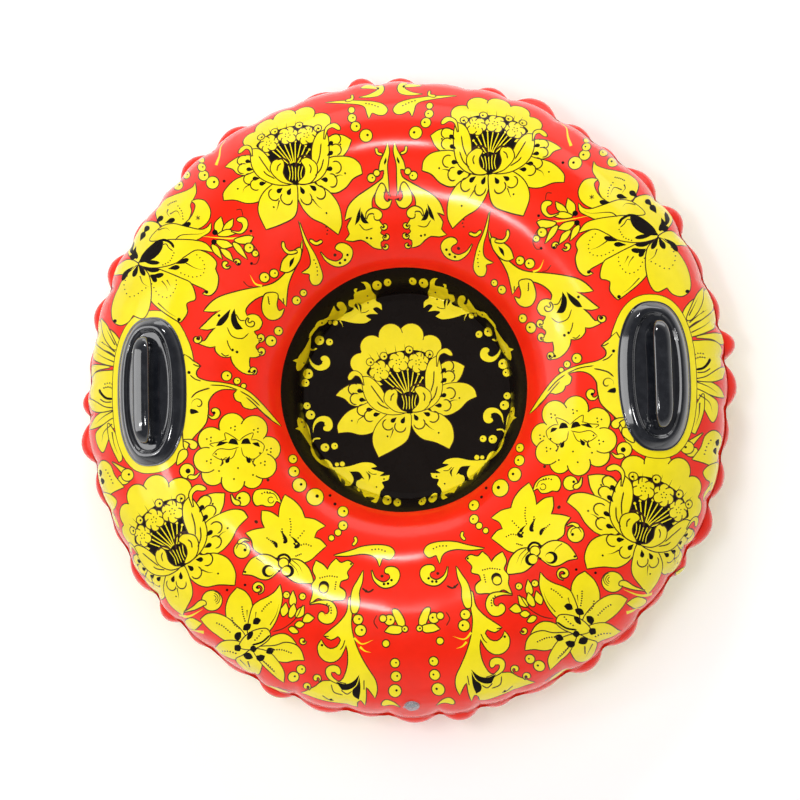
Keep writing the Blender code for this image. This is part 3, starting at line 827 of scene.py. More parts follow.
valveUp = np.cross(valveOut, valveSide)
guide = valve["bore"] + valve["neckWall"] + valve["slide"]


def valveSpace(points):
    points = np.asarray(points)
    return valvePoint + points[..., 0:1] * valveSide + points[..., 1:2] * valveUp + points[...,
                                                                                           2:3] * valveOut


def skinBend(x, y):
    # how far the skin falls away from the valve's middle
    return -(x * x / (2 * valveRadius / valveOutR) + y * y / (2 * tubeRadius))


def valveHole(radius):
    turns = math.tau * np.arange(valve["holeSides"]) / valve["holeSides"]
    x, y = np.cos(turns) * radius, np.sin(turns) * radius
    return flatFromSpace(valveSpace(np.column_stack([x, y, skinBend(x, y)])))


def lathe(name, profile, material, closed, bend=None):
    turns = math.tau * np.arange(valve["columns"]) / valve["columns"]
    rows = []
    for radius, z in profile:
        x, y = radius * np.cos(turns), radius * np.sin(turns)
        lift = bend(x, y) if bend else 0.0
        rows.append(valveSpace(np.column_stack([x, y, z + lift + 0 * x])))
    mesh = gridMesh(name, rows, closedRows=closed, caps=() if closed else (0, -1))
    mesh.set_sharp_from_angle(angle=math.radians(50))
    mesh.materials.append(material)
    return newObject(name, mesh)


def bevelled(profile, size, closed):
    # every corner of the profile cut twice, so that it catches the light
    p = np.asarray(profile, dtype=float)
    made = []
    count = len(p)
    for i in range(count):
        if not closed and i in (0, count - 1):
            made.append(p[i])
            continue
        a, b, c = p[i - 1], p[i], p[(i + 1) % count]
        la, lc = np.linalg.norm(a - b), np.linalg.norm(c - b)
        sa, sc = min(size, la * 0.4), min(size, lc * 0.4)
        start, end = b + (a - b) / la * sa, b + (c - b) / lc * sc
        made += [start, (start + end) / 4 + b / 2, end]
    return made


def clearPvc(name, rough):
    # clear soft vinyl, cloudy in places
    material = newMaterial(name)
    tree = material.node_tree
    cloud = noise(tree, flowFrom(tree, "ShaderNodeTexCoord", "Object"), Scale=160.0, Detail=4.0)
    dull = [c * finish["clearDull"] for c in finish["clear"]]
    dress(material, {
        "Base Color": colourRamp(tree, cloud, ((0.0, dull), (1.0, finish["clear"]))),
        "Roughness": cloud * 0.2 + rough,
        "Alpha": finish["clearAlpha"],
    })
    return material


clear = clearPvc("clear vinyl", 0.07)
gap = welds["gap"]
collarTop = gap + valve["collarThick"]
capBottom = collarTop + gap
strapMiddle = capBottom + valve["strapThick"] / 2 + gap
bendX = -(valve["cap"] + valve["strapReach"])
neckOuter = valve["bore"] + valve["neckWall"]


def makeNeck():
    v = valve
    profile = [(v["bore"], collarTop), (v["collar"], collarTop), (v["collar"], gap),
               (neckOuter, gap), (neckOuter, -v["neckDepth"]), (v["bore"], -v["neckDepth"])]
    return lathe("valveNeckTube", bevelled(profile, v["neckBevel"], True), clear, True)


def makePlug():
    # stopper, cap with a lifting lip, and the strap to the bend
    v = valve
    tip, top = capBottom - gap - v["stopperDepth"], capBottom + v["capThick"]
    profile = [(v["pole"], tip), (v["stopperTip"], tip), (v["stopper"], capBottom), (v["cap"], capBottom),
               (v["cap"], top), (v["cap"] - v["rimWidth"], top), (v["cap"] - v["rimFoot"], top - v["dish"]),
               (v["pole"], top - v["dish"])]
    cap = lathe("valvePlugCap", bevelled(profile, v["capBevel"], False), clear, False)
    half, thick = v["strapWidth"] / 2, v["strapThick"] / 2
    inner = -v["cap"] * 0.75
    rows = []
    for x in np.linspace(bendX - thick, inner, 9):
        width = half * (1 + 0.25 * ((x - bendX) / (inner - bendX)) ** 2)
        turns = math.tau * np.arange(16) / 16
        y, z = width * signedPower(np.cos(turns), 0.5), thick * signedPower(np.sin(turns), 0.5)
        rows.append(valveSpace(np.column_stack([0 * y + x, y, strapMiddle + z])))
    strap = newObject("valvePlugStrap", gridMesh("valvePlugStrap", rows, caps=(0, -1)))
    strap.data.materials.append(clear)
    return cap, strap


def baseBend(x, y):
    # the skin falls away faster below the valve, so the flange under it bends more
    return valve["baseBend"] * skinBend(x, y)


def makeBase():
    v = valve
    top = -welds["sheet"] - v["baseDrop"] - gap
    sleeve = guide + v["sleeveWall"]
    profile = [(guide, top), (v["base"], top), (v["base"], top - v["baseThick"]),
               (sleeve, top - v["baseThick"]), (sleeve, -v["sleeveDepth"]), (guide, -v["sleeveDepth"])]
    return lathe("valveBaseFlange", bevelled(profile, v["baseBevel"], True), clear, True, bend=baseBend)


def makeFlap():
    v = valve
    radius = v["bore"] + v["flapOver"]
    top = -v["neckDepth"] - gap
    low = top - v["flapThick"]
    profile = [(v["pole"], top), (radius, top), (radius, low), (v["pole"], low)]
    return lathe("valveFlapDisc", bevelled(profile, v["flapBevel"], False), clear, False)


neck = makeNeck()
cap, strap = makePlug()
for pieces, node, body in (
    ([neck], "valve_neck", "valve_neck"), ([cap, strap], "valve_plug", "valve_plug"),
    ([makeBase()], "valve_base", "root"), ([makeFlap()], "valve_flap", "valve_flap"),
):
    for piece in pieces:
        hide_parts(node)
        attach(piece, body)
print("valve")


seat = {"fold": 0.0016, "sag": 0.004, "columns": 300, "rows": 34}


def makeFloor(shapes):
    # black printed sheet, drawn slightly in folds where the welds pull it
    edge = ring["holeRadius"] - 2 * welds["gap"]
    mesh, spots = sheetMesh("floorSheetPrint", shapes, 0.0, edge, (), seat["columns"], seat["rows"])
    share = np.hypot(spots[:, 0], spots[:, 1]) / edge
    turn = np.arctan2(spots[:, 1], spots[:, 0])
    level = middleZ + welds["floor"] / 2
    wave = seat["fold"] * share**3 * (1 - share) * np.sin(turn * 9 + 0.7) * np.sin(turn * 4 + 2.0)
    points = np.column_stack([spots, level + wave - seat["sag"] * (1 - share**2)])
    mesh.vertices.foreach_set("co", points.ravel())
    ink = np.zeros(len(mesh.polygons), dtype=np.int32)
    mesh.attributes["ink"].data.foreach_get("value", ink)
    for material in inks:
        mesh.materials.append(material)
    mesh.polygons.foreach_set("material_index", ink)
    mesh.attributes.remove(mesh.attributes["ink"])
    item = newObject("floorSheetPrint", mesh)
    if mesh.polygons[0].normal.z < 0:
        mesh.flip_normals()
    solid = item.modifiers.new("thickness", "SOLIDIFY")
    solid.thickness = welds["floor"]
    solid.offset = -1
    mesh.shade_smooth()
    return item


def blob(points, fine=7):
    # closed outline through the points; a third value marks a corner
    count = len(points)
    p = np.array([q[:2] for q in points], dtype=float)
    corner = [len(q) > 2 for q in points]
    size = np.ptp(p, axis=0).max()
    made = []
    for i in range(count):
        a, b, c, d = p[i - 1], p[i], p[(i + 1) % count], p[(i + 2) % count]
        if corner[i]:
            a = 2 * b - c
        if corner[(i + 1) % count]:
            d = 2 * c - b
        steps = max(2, min(fine, int(1 + 26 * np.linalg.norm(c - b) / size)))
        made.append(catmull(a, b, c, d, np.linspace(0, 1, steps, endpoint=False)))
    return np.vstack(made)


printed = {
    "turn": 1.1, "outline": 0.0021, "floorOutline": 0.0013, "floorLotus": 0.0151, "floorRadius": 0.1592,
    "blackTo": 147.7, "border": 0.0120, "borderLine": 0.0135, "small": 0.006,
}  # turn and blackTo in degrees


def swollen(t, peak, power):
    # grows to its peak and ends round
    return np.where(t < peak, (t / peak) ** power, np.sqrt(np.maximum(0, 1 - ((t - peak) / (1 - peak)) ** 2)))


widthAlong = {
    "line": lambda t: np.minimum(1, np.minimum(t, 1 - t) * 10 + 0.15),
    "hair": lambda t: 1.05 - t,
    "comma": lambda t: swollen(t, 0.74, 1.15),
    "leaf": lambda t: np.sin(math.pi * t) ** 0.85,
    "drop": lambda t: swollen(t, 0.6, 0.9),
}


def ribbon(points, width, kind):
    # brush stroke: a smooth spine with the width that the kind gives
    p = np.array(points, dtype=float)
    steps = 6 if len(p) > 2 else 12
    line = throughPoints(p, steps)
    way = np.gradient(line, axis=0)
    way /= np.maximum(np.linalg.norm(way, axis=1, keepdims=True), 1e-9)
    across = np.column_stack([-way[:, 1], way[:, 0]])
    length = lengthAlong(line)
    half = width / 2 * widthAlong[kind](length / length[-1])[:, None]
    return np.vstack([line + across * half, (line - across * half)[::-1]])


def circle(x, y, r, sides=18):
    turns = math.tau * np.arange(sides) / sides
    return np.column_stack([x + r * np.cos(turns), y + r * np.sin(turns)])


def grown(outline, width):
    # the outline moved outwards by an even width
    ahead, behind = np.roll(outline, -1, axis=0), np.roll(outline, 1, axis=0)
    x, y = outline[:, 0], outline[:, 1]
    area = np.sum(x * ahead[:, 1] - ahead[:, 0] * y)
    way = ahead - behind
    way /= np.maximum(np.linalg.norm(way, axis=1, keepdims=True), 1e-9)
    out = np.column_stack([way[:, 1], -way[:, 0]]) * (1 if area > 0 else -1)
    return outline + out * width


def acrossAxis(points):
    # the print's own mirror line lies slightly turned against the handles
    turn = math.radians(2 * printed["turn"])
    x, y = -points[:, 0], points[:, 1]
    return np.column_stack([x * math.cos(turn) - y * math.sin(turn), x * math.sin(turn) + y * math.cos(turn)])


class Pen:
    # draws a motif in its own units; place turns them into metres on the flat sheet
    def __init__(self, sheets, place, outline=printed["outline"], mirror=True):
        self.sheets, self.place, self.outline, self.mirror = sheets, place, outline, mirror

    def add(self, ink, outline, edge=False):
        flat = self.place(np.asarray(outline, dtype=float))
        layers = [(ink, flat)]
        if edge and self.outline:
            layers.insert(0, (brown, grown(flat, self.outline)))
        tiny = ink != yellow and np.ptp(flat, axis=0).max() < printed["small"]
        for sheet in self.sheets:
            if tiny and sheet is lowerShapes:
                continue
            for value, shape in layers:
                sheet.append((value, shape))
                if self.mirror:
                    sheet.append((value, acrossAxis(shape)))

    def petal(self, *points, ink=yellow):
        self.add(ink, blob(points), ink == yellow)

    def dark(self, *points):
        self.add(black, blob(points, 5))

    def brush(self, kind, width, *points, ink=yellow):
        self.add(ink, ribbon(points, width, kind), ink == yellow and kind != "hair")

    def hair(self, width, *points, ink=brown):
        self.add(ink, ribbon(points, width, "hair"))

    def line(self, width, *points, ink=brown):
        self.add(ink, ribbon(points, width, "line"))

    def drop(self, width, *points):
        self.add(black, ribbon(points, width, "drop"))

    def berry(self, r, *centres, pupil=True):
        for x, y in centres:
            self.add(yellow, circle(x, y, r), True)
            if pupil:
                self.add(black, circle(x + r * 0.25, y - r * 0.1, r * 0.22, 8))

    def dot(self, r, *centres, ink=black):
        for x, y in centres:
            self.add(ink, circle(x, y, r, 8))

    def dots(self, r, count, *points, ink=brown):
        line = throughPoints(points, 12)
        length = lengthAlong(line)
        for at in np.linspace(0, length[-1], count):
            self.add(ink, circle(np.interp(at, length, line[:, 0]), np.interp(at, length, line[:, 1]), r, 6))

    def curl(self, x, y, r, start, turns, width, ink=yellow):
        # a spiral that runs in to its centre, thickest at its end
        t = np.linspace(0, 1, max(6, int(abs(turns) * 9)))
        a = math.radians(start) + math.tau * turns * t
        size = r * (1 - 0.75 * t)
        points = np.column_stack([x + size * np.cos(a), y + size * np.sin(a)])
        self.add(ink, ribbon(points, width, "comma"), ink == yellow)


right, up, back = (np.array(axis) for axis in viewAxes())
eye = np.array(view["target"]) + back * view["distance"]
sight = {"from": 0.302, "to": 0.150, "steps": 160}  # heights searched for the skin


def seenFlat(pixels):
    # where the sight lines through these pixels meet the smooth upper skin, on the flat sheet
    pixels = np.asarray(pixels, dtype=float)
    across = (pixels[:, 0] - view["ringAt"][0]) / (view["pixelsPerMetre"] * view["distance"])
    rise = -(pixels[:, 1] - view["ringAt"][1]) / (view["pixelsPerMetre"] * view["distance"])
    way = across[:, None] * right + rise[:, None] * up - back
    heights = np.linspace(sight["from"], sight["to"], sight["steps"])
    steps = (heights[None, :] - eye[2]) / way[:, 2:3]
    x, y = eye[0] + way[:, 0:1] * steps, eye[1] + way[:, 1:2] * steps
    radius = np.hypot(x, y)
    onRing = (radius > ring["holeRadius"]) & (radius < ring["rimRadius"])
    over = heights[None, :] - np.where(onRing, sectionPoint(1, sectionAngle(radius))[1], middleZ)
    hit = np.argmax(over <= 0.0, axis=1)
    hit = np.where((over <= 0.0).any(axis=1), hit, len(heights) - 1)
    rows = np.arange(len(pixels))
    before = np.maximum(hit - 1, 0)
    a, b = over[rows, before], over[rows, hit]
    share = np.clip(a / np.maximum(a - b, 1e-9), 0, 1)
    x = x[rows, before] * (1 - share) + x[rows, hit] * share
    y = y[rows, before] * (1 - share) + y[rows, hit] * share
    radius = np.hypot(x, y)
    rho = ring["holeRadius"] + ring["flatSpan"] * (1 - sectionAngle(radius) / 180)
    rho = np.where(radius < ring["holeRadius"], radius, rho)
    past = ring["holeRadius"] + ring["flatSpan"] + radius - ring["rimRadius"]
    rho = np.where(radius > ring["rimRadius"], past, rho)
    scale = rho / np.maximum(radius, 1e-9)
    return np.column_stack([x * scale, y * scale])


rimDraw = {"from": 0.605, "share": 0.6}


def shortened(points):
    # a motif seen edge-on at the rim would run far down the side, so its outer part is drawn shorter
    radius = np.hypot(points[:, 0], points[:, 1])
    past = np.maximum(radius - rimDraw["from"], 0)
    kept = radius - past + past * rimDraw["share"]
    return points * (kept / np.maximum(radius, 1e-9))[:, None]


def seenPlace(points):
    # motif units are pixels of the photograph's frame
    return shortened(seenFlat(points))


def flatPlace(pixel, size):
    # motif units in metres times size, round the spot seen at this pixel; y up
    centre = seenFlat([pixel])[0]
    return lambda points: centre + points * size


def lotus(pen):
    petals = (
        ((-4.6, 2.9), (-5.9, 3.0), (-6.9, 2.5), (-7.45, 1.95, 1), (-6.6, 1.6), (-5.9, 0.95), (-4.8, 0.85),
         (-3, 1.5)),
        ((3.4, 2.6), (4.6, 2.8), (5.3, 3.5), (5.7, 4.55, 1), (4.9, 5.0), (4.0, 5.1), (3.3, 4.7), (2.6, 3.4)),
        ((2.4, -0.1), (3.8, -0.4), (5, 0.1), (5.9, 0.95), (6.85, 1.4, 1), (6.6, 2.2), (5.8, 2.75),
         (4.6, 2.85), (3.4, 2.6), (2, 1.4)),
        ((-4.9, 0.8), (-6.3, 0.2), (-7.3, -1), (-7.3, -1.9, 1), (-6.2, -1.85), (-4.9, -2.15), (-3.6, -1.8),
         (-2.6, -0.6), (-2, 0.6), (-3.6, 1.2)),
        ((0.05, 0), (0.3, -1.6), (1.2, -2.7), (2.6, -3.15), (3.95, -3.85, 1), (4.4, -2.8), (4.2, -1.4),
         (3.3, -0.4), (2.2, 0), (1.2, 0.5)),
        ((-2.8, -0.6), (-3.6, -1.7), (-3.8, -3), (-3.25, -4.5, 1), (-1.8, -3.8), (-0.4, -2.9), (0.05, -1.6),
         (0, 0), (-1.2, 0.4)),
    )
    crown = ((-4.9, 5.2, 1.0), (2.25, 6.7, 1.15), (-3.7, 6.85, 1.15), (0.35, 7.85, 1.25), (-1.75, 7.95, 1.2))
    for x, y, r in crown:
        pen.add(yellow, circle(x, y, r, 26), True)
    pen.add(yellow, blob(((-5.4, 4.6), (-4, 7.2), (-1, 8.2), (1.5, 7.4), (3, 6), (2.6, 3.6), (0, 1),
                          (-3.4, 3.2))))
    pen.dark((-4, 0.8), (-3.4, 2.6), (0, 3.4), (3, 2.4), (3, 0.4), (0, -0.6), (-2.6, -0.3))
    for points in petals:
        pen.petal(*points)
    pen.dark((-4.3, 4.2), (-3, 5.6), (-1.5, 6.2), (0.4, 6.4), (1.9, 6), (2.6, 5), (2.5, 3.2), (1.5, 2),
             (0, 0), (-2.2, 2.4), (-3.2, 3.4))
    for x, y in ((-2.7, 3.6), (-2.3, 3.9), (-1.9, 4.1), (-1.3, 4.25), (-0.7, 4.4), (-0.1, 4.4), (0.5, 4.3),
                 (1, 3.9), (1.4, 3.5)):
        pen.add(yellow, ribbon(((-0.1, 1.6), (x * 0.42, y * 0.55 + 0.3), (x, y)), 0.11, "line"))
        pen.dot(0.13, (x, y), ink=yellow)
    for x, y in ((-2.95, 4.35), (-1, 5.2), (1, 5.1)):
        for k in range(6):
            a = math.tau * k / 6 + 0.3
            pen.add(yellow, circle(x + 0.62 * math.cos(a), y + 0.62 * math.sin(a), 0.44, 12), True)
        pen.add(yellow, circle(x, y, 0.62, 14))
        pen.dot(0.07, *((x + 0.27 * math.cos(k * 1.26), y + 0.27 * math.sin(k * 1.26)) for k in range(5)))
    for x, y in ((-2.5, 5.85), (0.1, 6.4), (2.15, 5.9), (-3.9, 5.3)):
        pen.add(yellow, circle(x, y, 0.36, 12), True)
        pen.add(black, circle(x + 0.08, y - 0.05, 0.12, 8))
    for x in (-3.6, -2.9, -2.1, -1.2, -0.3, 0.5, 1.3, 2.0):
        pen.hair(0.09, (x, 6.1 - abs(x + 0.6) * 0.22), (x * 1.12, 7.2 - abs(x + 0.6) * 0.34))
    pen.petal((-4.85, 3.75, 1), (-4, 3.7), (-3.1, 2.9), (-2.5, 1.9), (-2, 0.9), (-0.4, 0.05), (-2, -0.15),
              (-3.6, 0.5), (-4.5, 1.8))
    pen.brush("comma", 0.55, (-4.6, 2.9), (-4.95, 3.9), (-5.6, 4.15), (-6.15, 3.5))
    pen.petal((0.4, 0.1), (1.5, 0.2), (2.6, 0.8), (3.3, 2), (3.35, 4.2), (3, 5.7, 1), (2.2, 5.2), (1.75, 4),
              (1.7, 2.6), (1.9, 1.4))
    pen.brush("comma", 0.5, (2.9, 4.6), (3.1, 5.8), (3.8, 6.2), (4.5, 5.7))
    pen.add(black, circle(0, 1, 1.0) * (1.0, 1.15) + (0, -0.15))
    for x in (-0.5, -0.25, 0, 0.25, 0.5):
        pen.add(yellow, ribbon(((x * 1.3, 0.3), (x * 1.1, 1.0), (x * 1.5, 1.8)), 0.08, "line"))
    pen.petal((-0.3, 0), (-1.5, 0.2), (-2.5, 1.2), (-2.3, 2.2), (-1.5, 2.4), (-1.2, 1.9), (-1.3, 1),
              (-0.9, 0.3))
    pen.petal((0.3, 0.1), (1.4, 0.2), (2.1, 1), (2.1, 2), (1.2, 2.6), (0.6, 2.3), (1, 1.6), (0.9, 0.8))
    pen.line(0.2, (-1.9, 2.35), (-1.3, 2.55), (-0.7, 2.1), (-0.5, 1.4))
    pen.line(0.2, (1.6, 2.7), (0.9, 2.9), (0.2, 2.5), (0, 1.6))
    for pts in (((-1.9, 1.2), (-1.8, 1.7), (-1.5, 2)), ((1.5, 1.1), (1.6, 1.6), (1.4, 2)),
                ((-3.9, 2.9), (-3.3, 2.0), (-2.6, 1.0)), ((-3.3, 1.2), (-2.9, 0.8), (-2.1, 0.4)),
                ((2.6, 4.2), (2.5, 3.0), (2.2, 2.0)), ((2.9, 2.6), (2.6, 1.6), (2.0, 0.9))):
        pen.line(0.13, *pts)
    drops = ((-4.9, 2.3), (-4.7, 1.4), (-4, 0.4), (-3.3, -0.1), (-1.6, -0.7), (-0.65, -0.75), (0.6, -0.5),
             (1.7, -0.2), (2.9, 0.6), (3.4, 1.6), (3.5, 3.1), (3.5, 4.1))
    for x, y in drops:
        far = math.hypot(x, y - 0.6)
        ux, uy = x / far, (y - 0.6) / far
        cx, cy = x + ux * 0.75, y + uy * 0.75
        pen.line(0.13, *((cx + 0.58 * math.cos(a), cy + 0.58 * math.sin(a))
                         for a in math.atan2(uy, ux) + np.linspace(-1.9, 1.9, 7)))
        pen.drop(0.46, (x - ux * 0.35, y - uy * 0.35), (x, y), (x + ux * 0.42, y + uy * 0.42))
    pen.dot(0.1, (-5.7, 2.1), (-5.9, -0.7), (-2.3, -2.4), (2.9, -2.2), (5.1, 1.3), (4.6, 4.1))
    for pts in (((-4.6, -0.2), (-5.2, -0.6), (-5.4, -1.1)), ((-1.7, -1.7), (-1.9, -2.3), (-2.1, -2.7)),
                ((1.6, -1.2), (2.1, -1.7), (2.5, -1.9)), ((4.0, 0.9), (4.5, 1.1), (4.9, 1.1))):
        pen.hair(0.14, *pts)


def fitPlace(marks):
    # turn and size that bring the motif's marks (x, y) nearest to where they are seen (pixel x, y)
    flat = seenFlat([mark[2:] for mark in marks])
    drawn = np.array([complex(*mark[:2]) for mark in marks])
    wanted = flat[:, 0] + 1j * flat[:, 1]
    drawnMiddle, wantedMiddle = drawn.mean(), wanted.mean()
    apart = drawn - drawnMiddle
    factor = np.sum((wanted - wantedMiddle) * np.conj(apart)) / np.sum(np.abs(apart) ** 2)

    def place(points):
        moved = factor * (points[:, 0] + 1j * points[:, 1] - drawnMiddle) + wantedMiddle
        return np.column_stack([moved.real, moved.imag])
    return place


def sideFlower(p):
    p.petal((138, 262), (126, 250), (124, 236), (132, 228), (146, 222), (158, 224), (160, 236), (150, 250))
    p.petal((138, 264), (128, 260), (114, 268), (110, 275, 1), (124, 274), (134, 271))
    p.petal((160, 224), (156, 211), (163, 201), (175, 195), (186, 191), (193, 187), (195, 183, 1), (196, 192),
            (193, 199), (190, 205), (191, 212), (187, 221), (178, 226), (168, 226))
    p.petal((184, 226), (190, 219), (194, 212), (195.5, 205), (192, 201, 1), (198, 199.5), (205, 201.5),
            (210, 210), (209, 219), (203, 226), (194, 229.5))
    p.petal((150, 240), (160, 228), (172, 224), (186, 227), (200, 230), (207, 228), (211, 223, 1), (210, 231),
            (203, 236), (196, 240), (186, 242), (176, 243), (164, 240))
    p.petal((145, 266), (170, 258), (185, 252), (196, 250), (208, 254), (216, 262), (215, 269, 1), (218, 278),
            (216, 289), (210, 295), (203, 294, 1), (206, 290), (196, 285), (188, 282), (176, 280), (160, 278))
    p.petal((146, 266), (165, 272), (182, 279), (190, 283), (194, 291), (195, 299), (190, 301, 1), (186, 304),
            (187, 312), (183, 319), (180, 322, 1), (173, 318), (160, 309), (151, 300), (146, 288), (146, 278))
    p.petal((138, 266), (148, 274), (151, 290), (149, 308), (143, 318), (133, 315, 1), (128, 322), (120, 325),
            (113, 320), (112, 308), (116, 293), (124, 278), (132, 270))
    p.petal((139, 263), (150, 250), (164, 241), (180, 240), (196, 241), (206, 244), (213, 252, 1), (203, 250),
            (195, 250), (185, 256), (175, 263), (160, 267), (148, 267))
    p.dark((138.5, 263, 1), (142, 255), (149, 247), (157, 241), (163, 241.5), (162, 249), (157, 256),
           (149, 261))
    p.brush("line", 2.6, (156, 242), (164, 240), (171, 243), (174, 248), ink=black)
    p.line(1.0, (162, 245), (166, 244), (169, 248), (173, 251))
    p.dot(2.9, (132.5, 257))
    for points in (((140, 259), (149, 262), (160, 263)), ((141, 266), (150, 270), (160, 270)),
                   ((136, 258), (131, 250), (132, 240)), ((134, 266), (127, 272), (122, 281))):
        p.drop(4.6, *points)
    for points in (((136, 246), (134.5, 252), (137, 259)), ((138, 264), (136, 270), (133, 277)),
                   ((138, 264), (141, 269), (145, 276)), ((149, 275), (157, 276), (164, 274)),
                   ((150, 276), (153, 278), (157, 282)), ((176, 264), (182, 262), (189, 259)),
                   ((168, 269), (173, 268), (180, 267)), ((156, 223), (159, 220), (163, 216)),
                   ((165, 223), (170, 221), (175, 219)), ((181, 225), (186, 225), (191, 223)),
                   ((140, 241), (142, 237), (145, 232)), ((144, 233), (146, 230), (149, 226))):
        p.drop(5.0, *points)
    for count, points in ((10, ((127, 276), (124, 287), (131, 297), (146, 288))),
                          (12, ((152, 284), (159, 295), (169, 297), (176, 287), (176, 276))),
                          (12, ((181, 273), (192, 277), (203, 274), (204, 263), (197, 255))),
                          (7, ((163, 265), (170, 261), (174, 253))),
                          (6, ((178, 206), (182, 212), (183, 219))),
                          (6, ((168, 205), (171, 203), (176, 201)))):
        p.dots(0.75, count, *points)
    for points in (((186, 263), (195, 268), (203, 270)), ((162, 281), (166, 286), (168, 291)),
                   ((167, 280), (171, 287)), ((170, 214), (177, 211), (181, 218)),
                   ((158, 230), (166, 228), (170, 231)), ((140, 276), (143, 283), (149, 287)),
                   ((168, 209), (167, 213), (170, 217)), ((175, 240), (182, 235), (200, 234), (208, 230)),
                   ((158, 303), (168, 312), (176, 317))):
        p.hair(1.2, *points)
    p.dot(1.9, (206.5, 292), (179, 319.5), (115, 321))
    for x, y in ((2.2, 1.4), (2.2, -1.6), (0.2, 2.4)):
        p.line(0.8, (198 - x, 218 - y), (198 + x, 218 + y))


def twig(p):
    p.brush("hair", 2.6, (252, 236), (232, 238.5), (214, 237.5), (200, 236))
    for points in (((216, 233), (215, 224), (221, 217, 1), (223, 226), (220, 233)),
                   ((223, 231), (226, 224), (233, 219, 1), (231.5, 227)),
                   ((218, 235), (227, 230), (237, 232.5, 1), (227, 236)),
                   ((216, 241), (226, 241), (233, 246, 1), (223, 248)),
                   ((212, 245), (218, 248), (222, 259, 1), (214, 252)),
                   ((221, 249), (229, 252), (233, 261, 1), (225, 256)),
                   ((235, 239.5), (247, 236), (253, 237, 1), (249, 243), (239, 243)),
                   ((233, 243), (240, 246), (247, 259, 1), (237, 251))):
        p.petal(*points)
    p.brush("comma", 5.5, (231, 231), (240, 232.5), (245, 227), (243.5, 220.5), (237, 219.5))
    p.dot(2.9, (215, 232.5), (214, 242))
    p.berry(4.3, (249, 248))
    p.berry(2.8, (255.3, 253.5))
    p.curl(226.5, 264.5, 4.2, 20, 0.8, 3.0)
    p.curl(237, 262.5, 3.2, 180, 0.8, 2.8)
    p.dot(1.5, (238.5, 264), (224, 181), (251.5, 263.5), (251, 231))
    p.line(0.9, (252, 243), (259, 254), (257, 263), (252, 264.5))
    p.line(0.9, (236, 210), (241, 209.5), (243, 216))
    p.line(0.9, (243, 281), (248, 286), (253, 286.5))
    p.berry(6.0, (212.5, 182.5))
    p.berry(4.8, (203.5, 175.5), (178, 185))
    p.berry(3.6, (202, 167.5), (186.5, 175))
    p.berry(2.7, (202, 160.5), pupil=False)
    p.brush("hair", 2.6, (216, 165), (219, 156), (221, 147), (226, 140))


def leafSprig(p):
    p.petal((302, 240, 1), (300, 252), (293, 264), (285, 274), (276, 282), (266, 286), (252, 288.5),
            (236, 292), (220, 297), (211, 303), (204, 311, 1), (213, 311.5), (221, 310, 1), (213, 316),
            (206, 323), (200, 328.5, 1), (207, 329.5), (216, 327.5, 1), (210, 334), (205, 341), (197, 342),
            (203, 345), (210, 347), (215.5, 346, 1), (216, 351), (221, 356), (227, 357), (231, 356, 1),
            (233, 363), (239, 370), (247, 374), (256, 374, 1), (249, 366), (249.5, 357, 1), (256, 357),
            (262, 354, 1), (256, 349), (256, 345), (262, 340, 1), (256, 335), (254, 331), (259, 329),
            (262, 322.5), (258, 316), (252, 314.5), (247, 316, 1), (245, 311), (248, 305), (255, 299),
            (264, 295), (274, 295), (281, 300), (286, 306, 1), (286.5, 297), (288, 285), (292, 274),
            (298, 262), (302, 250))
    p.petal((266, 294), (262.5, 303), (263, 312), (268, 318.5), (275, 319.5), (281, 316), (284, 309, 1),
            (279, 311), (276.5, 305), (277, 294))
    p.petal((300, 248), (290, 254), (283, 261), (280.5, 270.5, 1), (287, 272), (294, 268), (300, 258))
    p.curl(197.5, 339, 3.8, 300, 0.9, 3.2)
    p.curl(261, 351.5, 3.8, 120, -0.9, 3.2)
    p.curl(260.5, 338, 3.8, 120, -0.9, 3.2)
    p.curl(253, 371, 3.6, 90, -0.9, 3.0)
    p.curl(251, 322, 5.0, 240, -0.7, 3.4)
    p.dark((230.5, 309, 1), (225, 314), (219, 320), (216, 326, 1), (222, 325), (228, 318))
    p.dark((234.5, 308.5, 1), (231, 316), (232, 324), (236, 329.5), (243, 329, 1), (238, 322), (236, 315))
    p.dark((294.5, 257, 1), (290, 261), (289.5, 268, 1), (293, 263))
    for points in (((236, 314), (240, 320), (245, 320.5)), ((227, 327), (232, 336), (242, 338.5), (249, 333)),
                   ((227, 340), (228.5, 345), (231, 350)), ((283, 298), (284, 303)), ((268, 296), (269, 304)),
                   ((221, 353), (225, 356), (229, 355))):
        p.line(1.1, *points)
    p.dot(1.5, (219, 315.5), (232.5, 350), (237, 352), (197.5, 338.5), (249, 371.5), (254.5, 371))
    p.dots(0.7, 4, (268, 297), (269.5, 304))
    p.berry(4.5, (264.5, 277.5), (226.5, 376))
    p.berry(3.9, (274, 273.5), (278.5, 331), (296.5, 300.5))
    p.berry(3.0, (303.5, 293), (237, 381))
    p.berry(5.0, (271, 341))
    p.berry(2.2, (243.5, 386), pupil=False)
    p.brush("hair", 2.2, (262, 286), (255, 283.5), (250, 275))
    p.petal((299, 221, 1), (303, 232), (308, 243), (315, 255), (320, 267), (322.5, 277), (319, 284),
            (313, 284.5), (310, 279), (309.5, 274), (302, 273, 1), (309, 268), (311, 262), (309, 252),
            (304, 240))
    p.dots(0.8, 5, (314, 260), (317, 267), (317.5, 275))
    p.brush("comma", 10.0, (320.5, 252), (327, 260), (337, 264), (345.5, 260), (347.5, 252), (342, 247.5),
            (335.5, 248))
    p.dot(1.4, (340, 263), (345, 260), (347.5, 255))
    p.dot(1.7, (335, 255), ink=brown)
    p.brush("line", 2.4, (283, 242), (284, 248), (289, 252.5), (297, 251.5))
    p.brush("line", 2.4, (310, 240), (316, 243.5), (322, 241))
    p.dots(0.9, 3, (326, 227), (327.5, 230), (327, 234))


